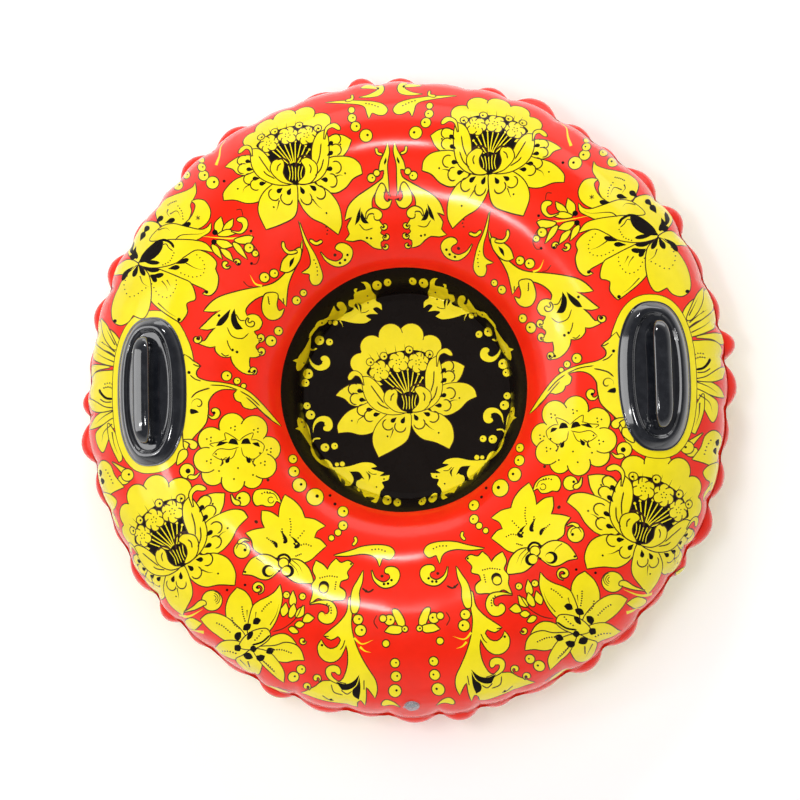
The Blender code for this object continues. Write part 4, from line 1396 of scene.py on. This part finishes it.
def pendant(p):
    p.petal((387.5, 143, 1), (385, 152), (380.5, 162), (379, 171, 1), (384, 170), (383, 178), (376, 184),
            (366, 191), (356, 198), (348.5, 207), (345, 220, 1), (352, 217), (347.5, 227), (350, 234),
            (345.5, 240, 1), (353, 241), (361, 239.5), (368, 243), (374, 247.5), (381.5, 249, 1),
            (380.5, 242), (387, 238, 1), (380, 233), (384, 227, 1), (379, 221), (376, 214), (372, 208),
            (372, 199), (377, 190), (384, 184), (389, 195, 1), (388, 180), (387, 165), (389, 152))
    p.petal((381, 184), (376, 194), (376, 203), (382, 208.5), (388.5, 207), (391.5, 200, 1), (387, 202),
            (383.5, 197), (385, 188))
    p.brush("comma", 7.0, (366, 219), (368, 213), (374, 211), (378.5, 215), (375, 219))
    p.curl(384, 226.5, 3.2, 180, -0.8, 2.6)
    p.curl(386, 236.5, 3.2, 180, -0.8, 2.6)
    p.curl(385.5, 246.5, 2.8, 180, -0.8, 2.4)
    p.dark((360.5, 207, 1), (357, 215), (355, 225.5, 1), (360, 219))
    p.dark((361.5, 211, 1), (360.5, 218), (363.5, 223), (369, 223.5, 1), (365, 218))
    p.dark((386, 157, 1), (384, 162), (384.5, 165, 1), (386.5, 161))
    p.line(1.0, (359, 224), (365, 230), (373, 228))
    p.line(1.0, (383, 193), (388, 192), (391, 197))
    p.dot(1.2, (367, 238), (371, 238.5), (389, 199.5), (384, 226.5), (386, 236), (385.5, 246.5))
    p.berry(3.8, (371.5, 178))
    p.berry(2.8, (376.7, 173), pupil=False)
    p.brush("line", 1.9, (376, 148), (377.5, 153), (382, 154.5))


def topSwirls(p):
    p.petal((325, 102.6, 1), (345, 100.8), (362, 101), (374, 102), (383, 104.5), (387.5, 110), (384, 114.6),
            (378, 114.8), (373, 112.8), (371, 114), (369, 118.5, 1), (367, 113), (365.5, 108), (361, 105),
            (350, 103.6))
    p.dots(0.8, 5, (366, 103.5), (371, 104.5), (378, 107))
    p.brush("comma", 7.0, (359, 97.5), (370, 96), (379, 92), (380, 87), (375, 84.5))
    p.brush("leaf", 4.5, (361, 89), (369, 87), (378, 88))
    p.dot(1.2, (378, 88))
    p.berry(2.9, (351.5, 110), pupil=False)
    p.berry(3.9, (352, 118))
    p.berry(4.6, (355.5, 126.5))
    p.berry(6.0, (366, 135.5))
    p.brush("line", 2.0, (346, 101), (352, 99), (352, 95))


def handleSprig(p):
    p.petal((182, 361), (193, 361.5), (200, 366, 1), (196, 371), (197, 377), (206, 381), (222, 383),
            (236, 386), (248, 391.5), (258, 400), (270, 413), (281, 426, 1), (268, 417), (258, 407.5),
            (252, 409), (244, 407), (241, 402, 1), (236, 400), (234, 394), (237, 390.5), (230, 389),
            (221, 389.5), (213, 394), (208, 402), (208, 409), (206, 422), (200, 430), (196, 434), (190, 441),
            (184, 446))
    p.curl(213.5, 413, 5.8, 160, -0.8, 6.0)
    p.dot(1.7, (214, 413), (189, 372.5))
    p.curl(198, 404, 7.0, 150, 0.95, 1.4, ink=brown)
    p.line(1.5, (191, 398), (196, 393), (203, 390), (210, 388))
    p.dark((190.5, 409), (196, 410), (199, 412.5, 1), (191, 414))
    for points in (((190, 375), (195, 379), (201, 381)), ((193, 364), (197, 366), (200, 366)),
                   ((240, 391), (250, 397), (260, 406)), ((246, 397), (254, 404), (262, 412), (272, 420)),
                   ((210, 385), (225, 386), (238, 390))):
        p.line(1.2, *points)
    p.brush("comma", 6.5, (183, 440), (190, 441.5), (194, 445), (190, 447))
    p.petal((180, 452), (186, 450), (187, 456), (182, 462, 1), (177, 464))


def palmette(p):
    for points in (((119, 358), (110, 352), (98, 347), (90, 337), (90, 327), (98, 321), (105, 330),
                    (110, 342), (118, 350)),
                   ((119, 366), (105, 364), (92, 358), (86, 348), (92, 343), (104, 351), (118, 360)),
                   ((119, 374), (106, 371), (94, 374), (87, 384), (90, 397), (99, 406), (112, 407),
                    (119, 400)),
                   ((118, 408), (105, 411), (96, 417), (88, 430, 1), (98, 427), (108, 421), (118, 415)),
                   ((115, 418), (105, 424), (97, 433), (98, 444), (103, 452), (108, 440), (112, 430),
                    (118, 423)),
                   ((118, 440), (113, 430), (108, 424), (109, 438), (113, 450), (119, 462, 1), (122, 458)),
                   ((108, 330), (114, 333), (120, 342), (118, 350), (111, 342)),
                   ((100, 318, 1), (106, 324), (112, 336), (117, 348), (112, 348), (104, 336)),
                   ((84, 378, 1), (87, 368), (96, 365), (110, 367), (98, 370), (90, 376)),
                   ((90, 410, 1), (85, 402), (92, 400), (104, 407), (114, 409), (100, 412))):
        p.petal(*points)
    p.line(2.4, (113, 399), (106, 398), (101, 393), (99.5, 389), ink=black)
    p.line(1.2, (112, 402), (105, 402), (100, 399))
    p.dots(0.9, 5, (104, 388), (108, 387), (112, 388))
    p.dots(0.8, 4, (105, 384), (109, 383), (112, 384))
    for points in (((115, 352), (106, 345), (99, 341)), ((114, 362), (103, 357), (95, 351)),
                   ((113, 411), (103, 417), (96, 424)), ((112, 424), (104, 432), (102, 442)),
                   ((102, 342), (105, 345)), ((115, 345), (110, 336), (106, 328)),
                   ((112, 432), (114, 444), (118, 454))):
        p.hair(1.3, *points)
    p.brush("comma", 9.0, (112, 462), (120, 468), (127, 474), (124, 480), (119, 477))
    p.berry(5.8, (127.5, 475))
    p.petal((94, 470), (102, 461), (110, 465), (115, 476), (124, 487, 1), (115, 491), (106, 496), (99, 490),
            (95, 480))
    p.petal((100, 496), (109, 494), (116, 500), (115, 507), (111, 512), (116, 522, 1), (108, 522), (103, 512))
    p.dark((98, 470), (102, 472), (100, 477), (97, 476))
    p.dark((101, 478), (105, 481), (102, 485), (99, 482))
    p.dots(0.8, 5, (106, 470), (110, 476), (113, 483))
    p.brush("leaf", 5.0, (108, 514), (113, 521), (118, 530))


def rosette(p):
    lobes = ((232, 426, 12.5), (268, 449, 12.0), (252, 478, 10.0), (213, 474, 11.0), (211, 440, 12.5),
             (254, 429, 13.0), (264, 466, 12.0), (233, 481, 11.0), (206, 460, 12.0))
    for x, y, r in lobes:
        p.add(yellow, circle(x, y, r, 30), True)
    p.add(yellow, circle(238, 453, 29, 30))
    p.dark((216, 446.5, 1), (220, 442), (229, 442, 1), (222, 445))
    p.dark((228, 443.5, 1), (231, 439), (236, 439.5), (238.5, 445, 1))
    p.dark((241, 444, 1), (243, 439.5), (248, 438.5), (251, 444, 1))
    p.dark((252, 443, 1), (258, 442.5), (260, 447, 1), (255, 445.5))
    for points in (((212, 455), (219, 449), (230, 449.5), (239, 447)),
                   ((212, 455), (221, 459.5), (232, 458), (237, 448)),
                   ((241, 447), (244, 456), (254, 459), (263, 452)),
                   ((263, 452), (264, 445), (257, 440), (251, 440)),
                   ((226, 441), (225, 433), (232, 436), (239, 441)),
                   ((239, 441), (245, 436), (253, 433), (251, 440)),
                   ((214, 447), (210, 444), (219, 442), (227, 439)), ((221, 466), (223, 460), (227, 457)),
                   ((255, 467), (252, 461), (249, 457))):
        p.line(0.9, *points)
    for x in (-1, 1):
        p.drop(4.2, (238 + x * 8, 456), (238 + x * 12, 463))
        p.line(1.3, (238 + x * 17, 458), (238 + x * 15, 463), (238 + x * 18, 466))
    for x, y in ((233, 428), (256, 430), (269, 450), (263, 463), (209, 461), (209, 439)):
        p.dot(0.9, (x - 2.2, y), (x + 2, y - 1.5), (x + 1.8, y + 2))
    p.dot(1.0, (253, 475), (234, 479), (219, 471), (238, 468), (260, 453), (216, 454))
    p.add(yellow, circle(187, 471, 7.0), True)
    p.brush("comma", 4.0, (200, 472.5), (195, 477), (188, 477))
    p.dot(2.6, (188, 471))
    p.add(yellow, circle(243, 499, 6.8), True)
    p.brush("comma", 4.5, (231, 494), (234, 501), (240, 504))
    p.dot(1.5, (239.5, 498), (330, 495.5))
    p.petal((253, 498), (256, 491), (264, 489.5), (272, 491), (278, 496), (281, 503, 1), (276.5, 501),
            (273, 505.5), (267, 506), (262, 504.5), (256, 505))
    p.line(0.9, (266, 493), (274, 494), (278, 500))
    p.line(0.9, *((271 + 3 * math.cos(a), 500 + 3 * math.sin(a)) for a in np.linspace(0, 5.6, 9)))
    p.dots(0.9, 4, (262, 493.5), (266, 492), (270, 492.5))
    p.add(yellow, circle(242, 550, 7.8), True)
    p.line(0.9, (236, 549), (239, 544), (245, 545), (247, 549))
    p.brush("comma", 3.0, (250, 541), (244, 539.5), (238, 543))
    p.dot(1.6, (245, 550), (256, 521.5), (335, 504))
    p.dot(1.6, (268, 480), (256.5, 522), ink=brown)
    p.berry(4.0, (293, 459))
    p.berry(5.0, (294, 471.5), (343, 511.5))
    p.berry(6.6, (299.5, 485))
    p.berry(8.3, (315, 497))
    p.berry(4.3, (343, 525.5))
    p.berry(3.0, (338, 532.5), pupil=False)
    p.berry(2.5, (331.5, 538), pupil=False)


def starFlower(p):
    p.petal((262, 511, 1), (270, 512), (279, 517.5, 1), (280, 508), (283, 499), (285, 495, 1), (294, 501),
            (301, 509), (304.5, 518, 1), (315, 520), (325, 526, 1), (317, 531), (314, 538, 1), (320, 540),
            (326, 546, 1), (318, 553), (310, 560), (300, 563), (290, 563), (281, 558), (270, 557), (262, 554),
            (254, 549), (252, 540), (246, 533, 1), (254, 530), (265, 528, 1), (262, 520))
    p.petal((281, 565), (272, 557), (262, 555), (252, 559), (246, 567), (243, 574, 1), (252, 575), (262, 579),
            (270, 578), (279, 570))
    p.petal((283, 566), (290, 560), (300, 561), (308, 568), (312, 577), (313, 583, 1), (305, 583), (296, 582),
            (288, 577), (282, 571))
    for points in (((280, 530), (283, 534), (286, 541), (283, 543)),
                   ((290, 536), (294, 539), (298, 545), (293, 543)), ((271, 540), (275, 543), (277, 548)),
                   ((297, 541), (299, 545), (294, 548))):
        p.drop(3.6, *points)
    p.line(2.4, (277, 561), (279.5, 556), (285, 554.5), (289.5, 558), (290, 563), ink=black)
    p.add(yellow, circle(283.5, 563, 4.5), True)
    for x in (268, 288):
        p.add(black, circle(x, 571, 6.2))
        p.add(yellow, circle(x + (1.8 if x < 280 else -1.8), 571, 4.4))
    p.dot(1.3, (245, 572), (279, 571))
    for count, points in ((7, ((290, 519), (291, 527), (290, 535))),
                          (6, ((282, 529), (283, 535), (284, 541))),
                          (6, ((267, 538), (271, 541), (275, 545))),
                          (6, ((299, 546), (305, 544), (311, 546))),
                          (5, ((296, 540), (300, 536), (304, 531))), (4, ((296, 556), (301, 554)))):
        p.dots(0.85, count, *points)
    for points in (((292, 560), (299, 566), (303, 574)), ((289, 562), (296, 569), (299, 576)),
                   ((256, 558), (262, 562), (266, 567))):
        p.hair(1.0, *points)


def lowFlower(p):
    for points in (((230, 626), (226, 611), (229, 598), (237, 588, 1), (245, 592), (251, 601), (252, 614),
                    (250, 632), (240, 636)),
                   ((248, 632), (252, 609), (258, 602), (268, 597), (275, 592), (280, 585, 1), (282, 598),
                    (279, 612), (274, 624), (266, 634), (256, 640)),
                   ((244, 645), (228, 641), (216, 634), (207, 626), (201, 619, 1), (208, 614), (218, 614),
                    (230, 620), (244, 634)),
                   ((250, 648), (236, 641), (222, 642), (212, 653, 1), (220, 658), (234, 660), (246, 657)),
                   ((262, 646), (272, 637), (282, 634), (290, 637), (296, 644, 1), (286, 643), (272, 646)),
                   ((256, 648), (275, 646), (285, 643), (295, 645), (301, 651), (304, 660, 1), (295, 660),
                    (284, 662), (270, 658)),
                   ((252, 650), (244, 655), (236, 660), (240, 672), (248, 679), (256, 678), (261, 668),
                    (262, 655)),
                   ((254, 650), (262, 664), (272, 673), (284, 682, 1), (284, 672), (278, 662), (268, 652)),
                   ((240, 647), (244, 638), (254, 631), (266, 629), (270, 636), (264, 643), (252, 649))):
        p.petal(*points)
    for points in (((243, 630), (247, 627), (251, 624)), ((253, 624), (257, 621), (261, 620)),
                   ((238, 641), (238, 636), (241, 632)), ((240, 651), (238, 648), (235, 645)),
                   ((243, 654), (248, 656), (253, 658)), ((256, 656), (260, 658), (265, 656)),
                   ((266, 653), (270, 651), (274, 649)), ((250, 650), (253, 649), (257, 649))):
        p.brush("leaf", 7.0, *points, ink=black)
    p.dark((247, 637), (249, 632), (253, 632), (252, 637), (248, 640))
    p.line(1.9, (252, 645), (262, 642), (270, 635), ink=black)
    for count, points in ((7, ((217, 623), (223, 626), (230, 632))),
                          (7, ((242, 607), (243, 614), (245, 621))),
                          (6, ((262, 611), (266, 606), (271, 602))),
                          (9, ((272, 650), (282, 650), (291, 653))),
                          (6, ((222, 652), (229, 651), (236, 653))),
                          (6, ((264, 662), (269, 666), (274, 671))),
                          (6, ((232, 618), (234, 624), (239, 628))), (5, ((248, 662), (249, 668))),
                          (5, ((255, 640), (259, 636), (262, 631)))):
        p.dots(0.9, count, *points)
    for points in (((270, 625), (276, 615), (279, 604)), ((240, 660), (246, 668), (249, 674)),
                   ((262, 660), (270, 668), (277, 674)), ((256, 612), (255, 620)), ((247, 610), (247, 618))):
        p.hair(1.1, *points)
    p.curl(258, 588, 6.2, 90, -1.2, 3.4)
    p.dot(1.4, (257, 587.5), (206, 603), (245, 585), (227, 590))
    p.add(yellow, circle(212, 600.5, 9.8, 26), True)
    for r in (2.6, 4.6, 6.6):
        p.line(0.8, *((213.5 + r * math.cos(a), 598 + r * math.sin(a)) for a in np.linspace(-1.5, 1.2, 8)))
    p.brush("comma", 5.5, (184, 612), (194, 608), (202, 603), (206, 604))
    p.petal((183, 624), (191, 618), (202, 623, 1), (193, 631), (185, 631))
    p.brush("hair", 3.2, (204, 632), (194, 632), (186, 636))
    p.brush("hair", 3.6, (177, 618), (190, 616), (203, 609))
    for points in (((283, 616), (281, 610), (286, 603, 1), (288, 611)),
                   ((290, 604), (290, 598), (293, 591, 1), (296, 600), (294, 606)),
                   ((289, 616), (290, 609), (294, 604, 1), (296, 611), (292, 617)),
                   ((296, 617), (298, 610), (304, 606, 1), (303, 615)),
                   ((303, 621), (307, 614), (314, 618, 1), (309, 622)),
                   ((289, 629), (293, 627), (298, 632), (293, 633))):
        p.petal(*points)
    p.brush("leaf", 6.0, (295, 625), (304, 624))
    p.curl(303, 641, 3.2, 0, 0.9, 2.6)
    p.berry(2.9, (286.5, 595), (302.5, 596.5))
    p.line(1.0, (272, 632), (284, 628), (296, 618), (303, 604))
    p.berry(4.2, (301, 669.5))
    p.berry(5.0, (293.5, 677))


def tulip(p):
    p.petal((316, 561, 1), (323, 565), (327.5, 570, 1), (331, 564), (336, 559, 1), (341, 563), (348, 561),
            (353, 564, 1), (347, 572), (348, 578), (341, 581), (339, 587, 1), (345, 592), (344, 599),
            (335, 600), (326, 601), (318, 598), (310, 604, 1), (313, 593), (312, 585), (316, 578), (313, 570))
    p.add(black, circle(324, 586, 5.2))
    p.add(yellow, circle(323.5, 588.5, 4.0), True)
    p.dots(0.85, 8, (320, 578), (329, 576), (337, 577))
    p.dots(0.85, 4, (336, 582), (335, 589))
    p.dot(1.2, (351, 564))
    p.brush("comma", 9.5, (310, 604), (320, 602), (330, 604), (333, 612), (329, 618.5), (322.5, 617.5),
            (321.5, 612))
    p.dots(0.9, 5, (327, 604), (331, 608), (331, 613))
    p.petal((349, 598), (347, 612), (340, 622), (332, 629), (324, 635.5, 1), (331, 639.5), (338, 636, 1),
            (341, 640), (337, 647), (330, 649), (324, 645), (321.5, 640, 1), (318, 646), (319.5, 655),
            (326, 661), (334, 661.5), (341, 656), (346, 645, 1), (348, 652), (348, 664), (345.5, 674),
            (341, 681), (332, 681), (322, 681.5), (316, 686), (308, 690), (301, 695, 1), (310, 697),
            (318, 700), (330, 703), (342, 706), (350, 709), (357, 710, 1), (357, 703), (361, 700),
            (365, 706, 1), (366, 696), (366, 687), (371, 692), (375, 698, 1), (377, 690), (375, 680),
            (368, 669), (360, 655), (354, 640), (351, 625), (352, 610), (352, 598))
    p.brush("comma", 6.5, (346, 684), (338, 682.5), (330, 677), (329, 670), (336, 669), (339.5, 674.5))
    p.dark((336, 681.5, 1), (345, 684), (353, 681.5), (359.5, 674.5, 1), (356, 685), (349, 689.5),
           (342, 690, 1))
    p.dark((359.5, 677, 1), (360.5, 689), (359, 699.5, 1), (353.5, 696), (352.5, 690), (357, 685))
    for points in (((331, 684), (334, 692), (343, 695)), ((341, 690), (347, 694), (352, 691)),
                   ((322, 695), (329, 700), (334, 701)), ((345, 640), (343, 646), (340, 650)),
                   ((364, 680), (364, 690)), ((324, 636), (329, 636.5))):
        p.line(1.1, *points)
    p.dot(1.4, (322, 645), (331, 700), (316.5, 678.5), (307.5, 686.5))
    p.curl(317, 678.5, 3.8, 60, -0.9, 3.2)
    p.curl(307, 686.5, 3.6, 60, -0.9, 3.0)
    p.petal((352, 612), (351, 600), (353, 589), (358, 580), (363, 571, 1), (362, 582), (359, 592),
            (359.5, 603), (357, 612))
    p.berry(4.6, (358, 619.5))
    p.berry(5.3, (360.5, 630.5))
    p.berry(3.2, (386, 643.5), pupil=False)
    p.berry(4.2, (395, 663))
    p.berry(4.8, (396, 676.5))
    p.berry(6.0, (395, 691))
    p.brush("hair", 2.2, (354, 638), (362, 644), (373, 640))
    p.brush("hair", 2.2, (360, 647), (365, 651), (371, 652.5))
    p.petal((392.5, 611), (398, 610.5), (404, 620), (404.5, 628.5, 1), (399, 626))
    p.petal((385, 631.5, 1), (391, 626), (402, 627.5), (400, 633), (392, 633.5))
    p.berry(4.9, (389.5, 620))
    p.berry(3.2, (383, 618.5), pupil=False)
    p.add(yellow, circle(405, 629, 2.6), True)
    p.dot(1.0, (404.5, 629))
    p.line(1.0, (377, 615), (374, 622), (378, 629))
    p.brush("comma", 9.5, (371.5, 570), (375, 579.5), (384, 585), (393, 581), (394.5, 573), (389, 570.5),
            (385, 572))
    p.dot(1.4, (384, 584), (388, 583.5), (391.5, 580))
    p.dot(1.6, (382, 576), (366, 591), ink=brown)
    p.petal((334, 555.5, 1), (350, 551), (363, 546.5), (378, 545), (390, 547), (394.5, 553), (390, 559),
            (383, 557.5), (381.5, 560), (379.5, 566, 1), (377, 559), (372, 555), (362, 553.5), (348, 555.5))
    p.dots(0.9, 5, (372, 549.5), (379, 549), (385, 551))
    p.brush("line", 2.2, (353, 545), (356, 541), (355, 537))
    p.brush("line", 1.8, (362, 588), (368, 592), (374, 589), ink=brown)
    p.petal((262, 694), (270, 690), (282, 694), (288, 702), (276, 702))
    p.brush("comma", 6.0, (400, 708), (394, 704), (387, 703), (382, 706))
    p.line(1.2, (276, 689), (286, 694), (291, 698))


def floorSprigs(p):
    p.brush("drop", 9.0, (311, 336), (307, 350), (302, 360), (297.5, 371))
    p.petal((292.5, 360.5, 1), (299, 358.5), (301, 364))
    p.brush("line", 2.8, (309, 338), (313, 331), (321, 323), (332, 317), (342, 315))
    p.brush("leaf", 5.5, (315, 326), (321, 323), (328, 321))
    p.petal((328, 320), (331, 312), (334, 306, 1), (337, 311), (340, 310), (337, 306), (338, 302.5),
            (343, 302.5), (346.5, 308), (345, 313), (338, 318))
    p.petal((333, 319), (345, 314), (352, 311), (354, 308), (349, 306), (349, 300.5), (354, 299), (354, 294),
            (360, 291), (366, 289), (364, 284), (361, 282.5, 1), (366, 282), (370, 285), (372, 291),
            (376, 296), (376, 301), (381, 304), (382, 310, 1), (377, 307), (373, 309), (378, 314, 1),
            (370, 314), (366, 316), (371, 319.5, 1), (365, 323), (355, 323), (344, 321))
    p.curl(357, 290.5, 3.2, 0, 0.8, 2.6)
    p.curl(354, 304.5, 3.8, 60, -0.9, 3.0)
    p.dark((357.5, 302.5, 1), (361.5, 306), (361, 314, 1), (359.5, 307))
    p.dark((354, 305, 1), (356.5, 303.5), (359, 311, 1), (356, 308))
    p.line(0.8, (361, 313), (366, 312), (369, 310), ink=black)
    p.dot(0.9, (367.5, 296), (368, 303), (304, 363), (322, 323), ink=black)
    p.brush("comma", 8.0, (308, 355), (312, 364), (319, 368), (325.5, 365), (325.5, 359.5), (320.5, 358))
    p.berry(4.7, (377, 285.5))
    p.berry(3.7, (387.5, 282.5))
    p.berry(4.7, (319.5, 340.5))
    p.berry(3.4, (329.5, 342))
    p.berry(5.0, (308, 374))
    p.berry(3.9, (305.5, 383))
    p.berry(2.6, (335.3, 323), pupil=False)
    p.berry(1.8, (330, 322.5), pupil=False)
    p.brush("hair", 1.3, (340, 321), (342, 324), (343, 327))
    p.brush("line", 1.6, (308.5, 347), (312, 350), (317, 348.5))
    p.brush("drop", 9.0, (312, 448), (307, 434), (303, 426), (298.5, 417.5))
    p.petal((295.5, 428.5, 1), (302, 426), (305, 432))
    p.brush("line", 2.8, (311, 446), (315, 456), (322, 463), (333, 468.5), (342, 470))
    p.brush("leaf", 5.0, (320, 460.5), (327, 462.5), (333, 467))
    p.petal((334, 468), (345, 468), (352, 475), (353.5, 481), (350, 485.5), (345, 485.5, 1), (345, 481),
            (341, 478, 1), (341, 482, 1), (337, 474))
    p.petal((333, 469), (350, 466), (362, 462.5), (372, 463), (377, 466.5, 1), (371, 468.5), (384, 472.5, 1),
            (380, 476), (389.5, 475, 1), (388, 480), (382, 482), (384, 487), (381, 491), (379, 498),
            (376, 502.5), (371, 501, 1), (375, 498), (370, 496.5), (364, 496), (361.5, 490), (356.5, 486),
            (357, 481), (361, 479), (361, 474.5), (350, 471.5), (342, 471))
    p.curl(360, 489.5, 2.8, 0, -0.8, 2.4)
    p.curl(366.5, 496, 3.0, 40, -0.8, 2.4)
    p.dark((351, 471.5, 1), (359, 472), (364.5, 479.5, 1), (357, 475.5))
    p.dark((365.5, 471, 1), (370.5, 475.5), (368.5, 481.5, 1), (368.5, 476))
    p.line(0.8, (368, 471), (372, 474), (377, 474), ink=black)
    p.dot(0.9, (376.5, 487), (384, 479), (302, 422), (304.5, 427), ink=black)
    p.brush("comma", 8.0, (313, 433.5), (314.5, 424), (320, 419), (327, 420), (328.5, 427), (323, 429))
    p.berry(4.5, (387, 500))
    p.berry(3.7, (397.3, 502.5))
    p.berry(4.2, (325, 447.5))
    p.berry(3.3, (334.5, 446))
    p.berry(4.6, (310.5, 415))
    p.berry(3.5, (307, 406))
    p.berry(2.5, (342.3, 464), pupil=False)
    p.berry(2.0, (337, 464.5), pupil=False)
    p.brush("line", 1.6, (312, 442.5), (315, 439), (320.5, 438.5))


upperShapes, lowerShapes, floorShapes = [], [], []
disc = math.tau * np.arange(180) / 180
rim = np.column_stack([np.cos(disc), np.sin(disc)])
blackRho = ring["holeRadius"] + ring["flatSpan"] * (1 - printed["blackTo"] / 180)
floorShapes.append((black, rim * printed["floorRadius"]))
upperShapes.append((black, rim * blackRho))
lowerShapes.append((black, rim * blackRho))
both = [upperShapes, lowerShapes]
floorPlace = flatPlace((409.5, 412), printed["floorLotus"])
lotus(Pen([floorShapes], floorPlace, outline=printed["floorOutline"], mirror=False))
floorSprigs(Pen([floorShapes, upperShapes], seenPlace, outline=0.0))
seen = Pen(both, seenPlace)
for motif in (palmette, topSwirls):
    motif(seen)
lotus(Pen(both, fitPlace(((-7.3, -1.9, 224, 200), (-3.25, -4.5, 267, 231), (3.95, -3.85, 337, 230),
                          (6.85, 1.4, 362, 175), (5.7, 4.55, 351, 139), (-7.45, 1.95, 225, 165),
                          (0, 0, 297, 188)))))
lotus(Pen(both, fitPlace(((6.85, 1.4, 248, 519), (3.95, -3.85, 238, 585), (-3.25, -4.5, 180, 614),
                          (5.7, 4.55, 222, 493), (0, 0, 182, 567)))))
for x in (-1, 1):
    outlineX, outlineY = padOutline(0.0)
    border = flatFromSpace(handlePoints(x, outlineX, outlineY, 0.0))
    for sheet in both:
        sheet.append((brown, grown(border, printed["borderLine"])))
        sheet.append((yellow, grown(border, printed["border"])))
    lowerShapes.append((red, border))
for motif in (sideFlower, twig, leafSprig, pendant, handleSprig, rosette, starFlower, lowFlower, tulip):
    motif(seen)
print("print drawn", len(upperShapes), len(floorShapes))

upperSkin = makeSkin(1, "upperSkinPrint", upperShapes, [valveHole(guide)])
lowerSkin = makeSkin(-1, "lowerSkinPrint", lowerShapes)
floorSheet = makeFloor(floorShapes)
print("skins", len(upperSkin.data.polygons), len(lowerSkin.data.polygons), len(floorSheet.data.polygons))
for piece, node, slotName in (
    (upperSkin, "upper_skin", "printed_pvc_top"), (lowerSkin, "lower_skin", "printed_pvc_underside"),
    (floorSheet, "floor_sheet", "printed_pvc_floor"),
):
    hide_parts(node)
    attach(piece, "root")


def makeStage():
    mesh = bpy.data.meshes.new("studio floor")
    half, white = studio["floorHalf"], studio["floorWhite"]
    mesh.from_pydata([(-half, -half, 0), (half, -half, 0), (half, half, 0), (-half, half, 0)], [],
                     [(0, 1, 2, 3)])
    material = newMaterial("pale floor")
    dress(material, {
        "Base Color": (white, white, white, 1),
        "Roughness": 0.9,
        "Specular IOR Level": 0.1,
        "Emission Color": (1, 1, 1, 1),
        "Emission Strength": studio["floorGlow"],
    })
    mesh.materials.append(material)
    item = newObject("studio floor", mesh)
    item.location.z = -studio["floorBelow"]


makeStage()
